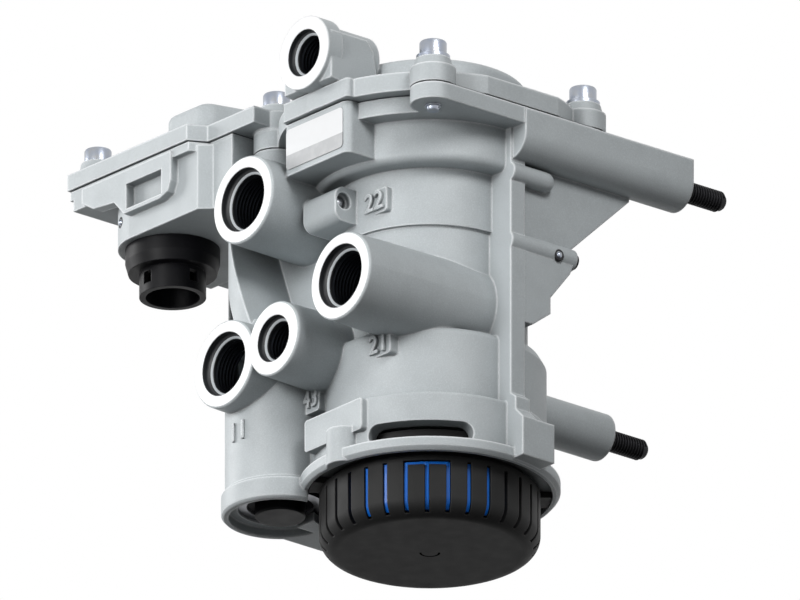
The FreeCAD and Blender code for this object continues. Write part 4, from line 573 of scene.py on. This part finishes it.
def lathe(shape, corners, foot, axis, steps=48):
    """Spins an outline, given as radius and height, about an axis that starts at foot."""
    turn = UP.rotation_difference(axis).to_matrix()
    points = [shape.verts.new(foot + turn @ Vector((radius, 0, height))) for radius, height in corners]
    edges = [shape.edges.new(pair) for pair in zip(points, points[1:])]
    bmesh.ops.spin(shape, geom=points + edges, cent=foot, axis=axis, angle=math.tau, steps=steps,
                   use_merge=True, use_duplicate=False)
    bmesh.ops.remove_doubles(shape, verts=shape.verts, dist=0.1 * MERGED)


def swept(shape, outlines):
    """Joins a row of closed outlines, each given by its points, into a tube with closed ends."""
    rings = [[shape.verts.new(point) for point in outline] for outline in outlines]
    count = len(rings[0])
    for first, second in zip(rings, rings[1:]):
        for index in range(count):
            after = (index + 1) % count
            shape.faces.new((first[index], first[after], second[after], second[index]))
    shape.faces.new(list(reversed(rings[0])))
    shape.faces.new(rings[-1])


def thread(shape, crest, root, pitch, length, foot, axis, steps=36):
    """A helical ridge of one start that stands on the radius root and reaches the radius crest."""
    turn = UP.rotation_difference(axis).to_matrix()
    section = ((root, -ROOT_SHARE), (crest, -CREST_SHARE), (crest, CREST_SHARE), (root, ROOT_SHARE))
    outlines = []
    for number in range(int((length / pitch - 1) * steps) + 1):
        out = around(math.tau * number / steps)
        rise = pitch * (number / steps + 0.5)
        outlines.append([foot + turn @ (out * radius + UP * (rise + share * pitch))
                         for radius, share in section])
    swept(shape, outlines)


class ValveOperator:
    """What the operators of this file share."""
    bl_options = {"REGISTER"}


class VALVE_OT_dress_frame(ValveOperator, bpy.types.Operator):
    """Gives every CAD node its own finish"""
    bl_idname = "valve.dress_frame"
    bl_label = "Dress the CAD pieces"

    def execute(self, context):
        for name in frame["nodes"]:
            dress_node(name)
        return {"FINISHED"}


class VALVE_OT_port_threads(ValveOperator, bpy.types.Operator):
    """Adds the thread inside each port"""
    bl_idname = "valve.port_threads"
    bl_label = "Port threads"

    depth: bpy.props.FloatProperty(
        name="Depth", description="How far the thread stands out of the bore", unit="LENGTH",
        default=0.42 * MM)
    sunk: bpy.props.FloatProperty(
        name="Sunk", description="How far the thread's root lies in the wall", unit="LENGTH",
        default=0.05 * MM)

    def execute(self, context):
        pitch = settings("thread").port_pitch
        for name, port in PORTS.items():
            bore = port["dims"]["r_mm"] * MM
            length = port["dims"]["length_mm"] * MM - pitch
            start = Vector((port["pos_m"][0], PORT_FACE + CHAMFER_END, port["pos_m"][2]))
            shape = bmesh.new()
            thread(shape, bore - self.depth, bore + self.sunk, pitch, length, start, TO_BACK, 48)
            # the thread's near-black finish is painted shade
            add_piece(name + "_thread", shape, "cast_aluminium", own_finish="bore_thread")
        return {"FINISHED"}


class VALVE_OT_studs(ValveOperator, bpy.types.Operator):
    """Replaces the three plain studs with threaded ones"""
    bl_idname = "valve.studs"
    bl_label = "Threaded studs"

    depth: bpy.props.FloatProperty(
        name="Depth", description="Depth of the thread as a share of its pitch", default=0.61)

    def execute(self, context):
        pitch = settings("thread").stud_pitch
        arm_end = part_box("valve_body")[1].y
        for name, place in STUDS.items():
            low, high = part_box(name)
            centre = (low + high) / 2
            grip = (high.x - low.x) / 2
            radius = mount(place)["dims"]["r_mm"] * MM
            core = radius - self.depth * pitch
            stem = core + 0.05 * MM
            foot = Vector((centre.x, low.y, centre.z))
            length = high.y - low.y
            inside = arm_end - low.y
            shape = bmesh.new()
            thread(shape, grip, core, pitch, inside - BARE_INSIDE * pitch, foot + TO_BACK * pitch, TO_BACK)
            free = foot + TO_BACK * (inside + BARE_START * pitch)
            thread(shape, radius, core, pitch, length - inside - BARE_OUTSIDE * pitch, free, TO_BACK)
            lathe(shape, [(0, 0), (core - 0.3 * MM, 0), (stem, 0.5 * MM), (stem, length - 0.9 * MM),
                          (core - 0.5 * MM, length - 0.2 * MM), (core - 0.9 * MM, length), (0, length)],
                  foot, TO_BACK)
            add_piece(name + "_threaded", shape, "black_steel", stands_for=[name], smooth_angle=50)
        return {"FINISHED"}


def socket_screw(shape, foot, seat, radius, head, head_height, pitch):
    """An upright cap screw with a six-sided socket: shank from foot to seat, threaded near its foot."""
    length = (seat - foot).length
    top = length + head_height
    core = radius - SCREW_DEPTH * pitch
    threaded = min(length * SCREW_THREADED, MOST_THREADED)
    mouth = SOCKET_MOUTH * head
    lathe(shape, [(0, 0), (core - 0.3 * MM, 0), (core, 0.4 * MM), (core, threaded),
                  (radius, threaded + 0.5 * MM), (radius, length), (head - 0.3 * MM, length),
                  (head, length + 0.35 * MM), (head, top - 0.7 * MM), (head - 0.25 * MM, top - 0.2 * MM),
                  (head - 0.7 * MM, top), (mouth, top)], foot, UP)
    thread(shape, radius, core, pitch, threaded - pitch, foot + UP * 0.5 * MM, UP, 24)
    rim, wall, floor = [], [], []
    for number in range(SOCKET_STEPS):
        angle = math.tau * number / SOCKET_STEPS
        reach = SOCKET_RADIUS * head * (1 + SOCKET_LOBES * math.cos(SOCKET_SIDES * angle))
        side = foot + UP * top + around(angle) * reach
        rim.append(shape.verts.new(foot + UP * top + around(angle) * mouth))
        wall.append(shape.verts.new(side))
        floor.append(shape.verts.new(side - UP * SOCKET_DEPTH * head_height))
    for number in range(SOCKET_STEPS):
        after = (number + 1) % SOCKET_STEPS
        shape.faces.new((rim[number], rim[after], wall[after], wall[number]))
        shape.faces.new((wall[number], wall[after], floor[after], floor[number]))
    shape.faces.new(floor)


def islands(node):
    """The boxes of a node's separate solids, found from how its points cluster in the XY plane."""
    groups = []
    for vertex in frame["nodes"][node].data.vertices:
        point = vertex.co.copy()
        near = next((group for group in groups if (point - group[0]).xy.length < SCREW_GAP), None)
        if near:
            near.append(point)
        else:
            groups.append([point])
    return [(Vector(map(min, *group)), Vector(map(max, *group))) for group in groups]


class VALVE_OT_cover_screws(ValveOperator, bpy.types.Operator):
    """Replaces the plain cover screws with socket screws"""
    bl_idname = "valve.cover_screws"
    bl_label = "Cover screws"

    head_height: bpy.props.FloatProperty(
        name="Head height", description="Height of a screw head", unit="LENGTH", default=5.6 * MM)
    shank: bpy.props.FloatProperty(
        name="Shank radius", description="Radius of a screw's shank", unit="LENGTH", default=3.0 * MM)

    def execute(self, context):
        for node in ("cover_bolts", "electronics_bolts"):
            shape = bmesh.new()
            for low, high in islands(node):
                centre = (low + high) / 2
                head = (high.x - low.x) / 2
                foot = Vector((centre.x, centre.y, low.z))
                seat = Vector((centre.x, centre.y, high.z - self.head_height))
                socket_screw(shape, foot, seat, self.shank, head, self.head_height,
                             settings("thread").screw_pitch)
            add_piece(node + "_socketed", shape, "zinc_steel", stands_for=[node], smooth_angle=40)
        return {"FINISHED"}


class VALVE_OT_port_numbers(ValveOperator, bpy.types.Operator):
    """Adds the raised port numbers on the cast pads"""
    bl_idname = "valve.port_numbers"
    bl_label = "Port numbers"

    height: bpy.props.FloatProperty(
        name="Digit height", description="Height of the raised digits", unit="LENGTH", default=7.6 * MM)
    relief: bpy.props.FloatProperty(
        name="Relief", description="How far the digits stand out", unit="LENGTH", default=0.6 * MM)
    bevel: bpy.props.FloatProperty(
        name="Bevel", description="Size of the bevel round each digit", unit="LENGTH", default=0.12 * MM)

    def execute(self, context):
        for word, (place, width) in NUMBERS.items():
            curve = bpy.data.curves.new("digits_" + word, "FONT")
            curve.body = word
            curve.size = self.height * FONT_SHARE
            curve.extrude = self.relief
            curve.bevel_depth = self.bevel
            curve.bevel_resolution = 1
            curve.resolution_u = 3
            curve.align_x = "CENTER"
            curve.align_y = "CENTER"
            text = bpy.data.objects.new("digits_" + word, curve)
            bpy.context.scene.collection.objects.link(text)
            bpy.context.view_layer.update()
            mesh = bpy.data.meshes.new_from_object(text.evaluated_get(bpy.context.evaluated_depsgraph_get()))
            bpy.data.objects.remove(text)
            mesh.transform(Matrix.Translation(place) @ Matrix.Rotation(math.radians(90), 4, "X")
                           @ Matrix.Diagonal((width, 1, 1, 1)))
            shape = bmesh.new()
            shape.from_mesh(mesh)
            bpy.data.meshes.remove(mesh)
            if word == ON_TOWER:
                for vertex in shape.verts:
                    across = vertex.co.x - place.x
                    vertex.co.y += TOWER_RADIUS - math.sqrt(TOWER_RADIUS ** 2 - across ** 2)
            add_piece("port_number_" + word, shape, "cast_aluminium")
        return {"FINISHED"}


class VALVE_OT_silencer_ribs(ValveOperator, bpy.types.Operator):
    """Adds the ribs of the blue insert that stand in the slots of the silencer cap"""
    bl_idname = "valve.silencer_ribs"
    bl_label = "Silencer ribs"

    count: bpy.props.IntProperty(name="Slots", description="Number of slots round the cap", default=32)
    ribbed: bpy.props.IntProperty(
        name="Ribbed slots", description="Slots with a rib on each side of the front one", default=3)
    front: bpy.props.FloatProperty(
        name="Front slot", description="Direction of the middle front slot", subtype="ANGLE",
        default=math.radians(-41.7))
    sunk: bpy.props.FloatProperty(
        name="Sunk", description="How far a rib stays behind the cap's surface", unit="LENGTH",
        default=0.9 * MM)
    width: bpy.props.FloatProperty(
        name="Width", description="Width of a rib", unit="LENGTH", default=1.4 * MM)
    corner: bpy.props.FloatProperty(
        name="Corner", description="Radius of the cap's lower corner", unit="LENGTH", default=6.5 * MM)
    root: bpy.props.FloatProperty(
        name="Root", description="How far a rib reaches into the insert", unit="LENGTH",
        default=0.1 * MM)
    rise: bpy.props.FloatProperty(
        name="Rise", description="How far a rib stands above the insert", unit="LENGTH",
        default=1.0 * MM)

    def execute(self, context):
        low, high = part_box("silencer_cap")
        blue_low, blue_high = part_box("silencer_insert")
        radius = (high.x - low.x) / 2 - self.sunk
        inner = (blue_high.x - blue_low.x) / 2 - self.root
        top = blue_high.z + self.rise
        bend = [math.radians(angle) for angle in range(0, -51, -10)]
        outer_turn = self.corner - self.sunk
        middle = radius - outer_turn
        outer, inside = [
            [(middle + turn, top)] + [
                (middle + turn * math.cos(a), self.corner + turn * math.sin(a)) for a in bend]
            for turn in (outer_turn, inner - middle)]
        step = math.tau / self.count
        shape = bmesh.new()
        for number in range(-self.ribbed, self.ribbed + 1):
            out = around(self.front + number * step)
            side = UP.cross(out) * self.width / 2
            rings = []
            for (r1, z1), (r2, z2) in zip(outer, inside):
                near, far = out * r1 + UP * z1, out * r2 + UP * z2
                rings.append([near - side, near + side, far + side, far - side])
            swept(shape, rings)
        rings = []
        for part in range(BAR_STEPS + 1):
            out = around(self.front + step * (2 * part / BAR_STEPS - 1))
            near, far = out * radius + UP * top, out * inner + UP * top
            below = UP * self.width
            rings.append([near - below, near, far, far - below])
        swept(shape, rings)
        add_piece("silencer_insert_ribs", shape, "blue_plastic")
        return {"FINISHED"}


class VALVE_OT_small_balls(ValveOperator, bpy.types.Operator):
    """Adds the two small pressed-in balls of the right lug and of the electronics housing"""
    bl_idname = "valve.small_balls"
    bl_label = "Small balls"

    radius: bpy.props.FloatProperty(
        name="Ball radius", description="Radius of a small ball", unit="LENGTH", default=1.35 * MM)
    sunk: bpy.props.FloatProperty(
        name="Sunk", description="How far a ball's middle lies behind the skin", unit="LENGTH",
        default=0.35 * MM)
    root: bpy.props.FloatProperty(
        name="Root", description="How far a ball's seat reaches into the skin", unit="LENGTH",
        default=0.8 * MM)

    def execute(self, context):
        seat = [(0.9, -self.root), (1.0, 0.25 * MM), (1.35, 0.4 * MM), (1.6, 0.25 * MM),
                (1.7, -self.root), (0.9, -self.root)]
        ring = [(share * self.radius, height) for share, height in seat]
        arc = [(self.radius * math.cos(a), self.radius * math.sin(a))
               for a in [math.radians(angle) for angle in range(-90, 91, 15)]]
        for name, (place, axis) in BALLS.items():
            shape = bmesh.new()
            lathe(shape, ring, place, axis, 32)
            add_piece(name + "_seat", shape, "seal_rubber")
            shape = bmesh.new()
            lathe(shape, arc, place - axis * self.sunk, axis, 32)
            add_piece(name, shape, "zinc_steel")
        return {"FINISHED"}


def helix(shape, coil, wire, low, high, centre, steps=32, sides=10):
    """A coil spring of round wire whose first and last turns lie close."""
    lead = 2 * wire
    pitch = (high - low - 2 * wire - 2 * lead) / SPRING_TURNS
    section = [math.tau * side / sides for side in range(sides)]
    rings = []
    for number in range((SPRING_TURNS + 2) * steps + 1):
        passed = number / steps
        close_turns = min(passed, 1) + max(passed - SPRING_TURNS - 1, 0)
        open_turns = min(max(passed - 1, 0), SPRING_TURNS)
        out = around(math.tau * passed)
        rise = close_turns * lead + open_turns * pitch
        middle = centre + out * coil + UP * (low + wire + rise)
        rings.append([middle + (out * math.cos(turn) + UP * math.sin(turn)) * wire for turn in section])
    swept(shape, rings)


class VALVE_OT_springs(ValveOperator, bpy.types.Operator):
    """Replaces the four return springs that are pressed shorter with true helices"""
    bl_idname = "valve.springs"
    bl_label = "Springs"

    def execute(self, context):
        springs = {"valve_spring": ("inlet_valve_slide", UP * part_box("valve_spring")[0].z)}
        for side in ("left", "middle", "right"):
            name = "armature_spring_" + side
            springs[name] = ("armature_%s_slide" % side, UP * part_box(name)[1].z)
        for name, (joint, anchor) in springs.items():
            low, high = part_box(name)
            wire = SPRING_WIRES[name.split("_")[0]]
            centre = Vector(((low.x + high.x) / 2, (low.y + high.y) / 2, 0))
            shape = bmesh.new()
            helix(shape, (high.x - low.x) / 2 - wire, wire, low.z, high.z, centre)
            piece = add_piece(name + "_helix", shape, "spring_steel", stands_for=[name])
            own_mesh(piece)
        return {"FINISHED"}


def add_lamp(name, power):
    """A square area lamp that looks at the valve from its direction in LAMPS."""
    direction, side = LAMPS[name]
    lamp = bpy.data.lights.new(name + "_lamp", "AREA")
    lamp.shape = "SQUARE"
    lamp.size = side
    lamp.energy = power
    lamp.spread = LAMP_SPREAD
    holder = bpy.data.objects.new(name + "_lamp", lamp)
    target = centre_of("valve_body")
    holder.location = target + Vector(direction).normalized() * LAMP_DISTANCE
    holder.rotation_mode = "QUATERNION"
    holder.rotation_quaternion = (target - holder.location).to_track_quat("-Z", "Y")
    bpy.context.scene.collection.objects.link(holder)


def add_camera():
    """The camera at the photograph's angle; its view has no perspective."""
    stage = settings("stage")
    back = Vector((math.sin(stage.azimuth) * math.cos(stage.elevation),
                   -math.cos(stage.azimuth) * math.cos(stage.elevation), math.sin(stage.elevation)))
    turn = back.to_track_quat("Z", "Y")
    camera = bpy.data.cameras.new("photo_view")
    camera.type = "ORTHO"
    camera.ortho_scale = stage.view_width
    holder = bpy.data.objects.new("photo_view", camera)
    holder.rotation_mode = "QUATERNION"
    holder.rotation_quaternion = turn
    right = turn @ Vector((1, 0, 0))
    up = turn @ Vector((0, 1, 0))
    holder.location = right * stage.view_right + up * stage.view_up + back * stage.distance
    bpy.context.scene.collection.objects.link(holder)
    bpy.context.scene.camera = holder


def add_world(ambient):
    """A white surround for the camera and for reflections, and a dimmer one for diffuse light."""
    world = bpy.data.worlds.new("surround")
    world.use_nodes = True
    nodes, links = world.node_tree.nodes, world.node_tree.links
    background = nodes["Background"]
    background.inputs["Color"].default_value = (1, 1, 1, 1)
    path = nodes.new("ShaderNodeLightPath")
    seen = path.outputs["Is Camera Ray"]
    for kind in ("Is Glossy Ray", "Is Transmission Ray"):
        either = nodes.new("ShaderNodeMath")
        either.operation = "MAXIMUM"
        links.new(seen, either.inputs[0])
        links.new(path.outputs[kind], either.inputs[1])
        seen = either.outputs[0]
    strength = nodes.new("ShaderNodeMapRange")
    strength.inputs["To Min"].default_value = ambient
    strength.inputs["To Max"].default_value = 1.0
    links.new(seen, strength.inputs["Value"])
    links.new(strength.outputs["Result"], background.inputs["Strength"])
    bpy.context.scene.world = world


class VALVE_OT_stage(ValveOperator, bpy.types.Operator):
    """Sets up the floor, the lamps, the surround and the camera"""
    bl_idname = "valve.stage"
    bl_label = "Stage"

    key_power: bpy.props.FloatProperty(
        name="Key power", description="Power of the front lamp in watts", default=1.02)
    left_power: bpy.props.FloatProperty(
        name="Left power", description="Power of the left lamp in watts", default=0.68)
    right_power: bpy.props.FloatProperty(
        name="Right power", description="Power of the right lamp in watts", default=0.66)
    top_power: bpy.props.FloatProperty(
        name="Top power", description="Power of the upper lamp in watts", default=0.15)
    under_power: bpy.props.FloatProperty(
        name="Under power", description="Power of the low lamp in watts", default=0.05)
    ambient: bpy.props.FloatProperty(
        name="Ambient", description="Strength of the surround's soft light", default=0.05)

    def execute(self, context):
        stage = settings("stage")
        shape = bmesh.new()
        bmesh.ops.create_circle(shape, cap_ends=True, radius=stage.floor_radius, segments=96)
        bmesh.ops.translate(shape, verts=shape.verts, vec=(0, 0, stage.floor_level))
        mesh = bpy.data.meshes.new("floor")
        shape.to_mesh(mesh)
        shape.free()
        floor = bpy.data.objects.new("floor", mesh)
        bpy.context.scene.collection.objects.link(floor)
        pale = Shader("pale_floor", (0.62, 0.62, 0.62), 0.8)
        pale.tint(pale.spread(pale.noise(40 * MM, 3), 0, 0.2, start=0.4, end=0.7), (0.58, 0.58, 0.58))
        mesh.materials.append(pale.material)
        add_world(self.ambient)
        for name in LAMPS:
            add_lamp(name, getattr(self, name + "_power"))
        add_camera()
        context.scene.view_settings.view_transform = "Standard"
        return {"FINISHED"}


OPERATORS = (
    VALVE_OT_stage,
    VALVE_OT_dress_frame,
    VALVE_OT_port_threads,
    VALVE_OT_studs,
    VALVE_OT_cover_screws,
    VALVE_OT_port_numbers,
    VALVE_OT_silencer_ribs,
    VALVE_OT_small_balls,
    VALVE_OT_springs,
)
GROUPS = {"cast": CastSettings, "thread": ThreadSettings, "stage": StageSettings}


class VALVE_PT_panel(bpy.types.Panel):
    """Lists the steps that finish the valve"""
    bl_label = "Brake control valve"
    bl_idname = "VALVE_PT_panel"
    bl_space_type = "VIEW_3D"
    bl_region_type = "UI"
    bl_category = "Valve"

    def draw(self, context):
        for group in GROUPS:
            box = self.layout.box()
            for name in GROUPS[group].__annotations__:
                box.prop(settings(group), name)
        for operator in OPERATORS:
            self.layout.operator(operator.bl_idname)


def register():
    for group in GROUPS.values():
        bpy.utils.register_class(group)
    for operator in OPERATORS:
        bpy.utils.register_class(operator)
    bpy.utils.register_class(VALVE_PT_panel)
    for name, group in GROUPS.items():
        setattr(bpy.types.Scene, "valve_" + name, bpy.props.PointerProperty(type=group))


def unregister():
    for name in GROUPS:
        delattr(bpy.types.Scene, "valve_" + name)
    bpy.utils.unregister_class(VALVE_PT_panel)
    for operator in reversed(OPERATORS):
        bpy.utils.unregister_class(operator)
    for group in reversed(list(GROUPS.values())):
        bpy.utils.unregister_class(group)


def main():
    register()
    for operator in OPERATORS:
        family, step = operator.bl_idname.split(".")
        getattr(getattr(bpy.ops, family), step)()


if __name__ == "__main__":
    main()
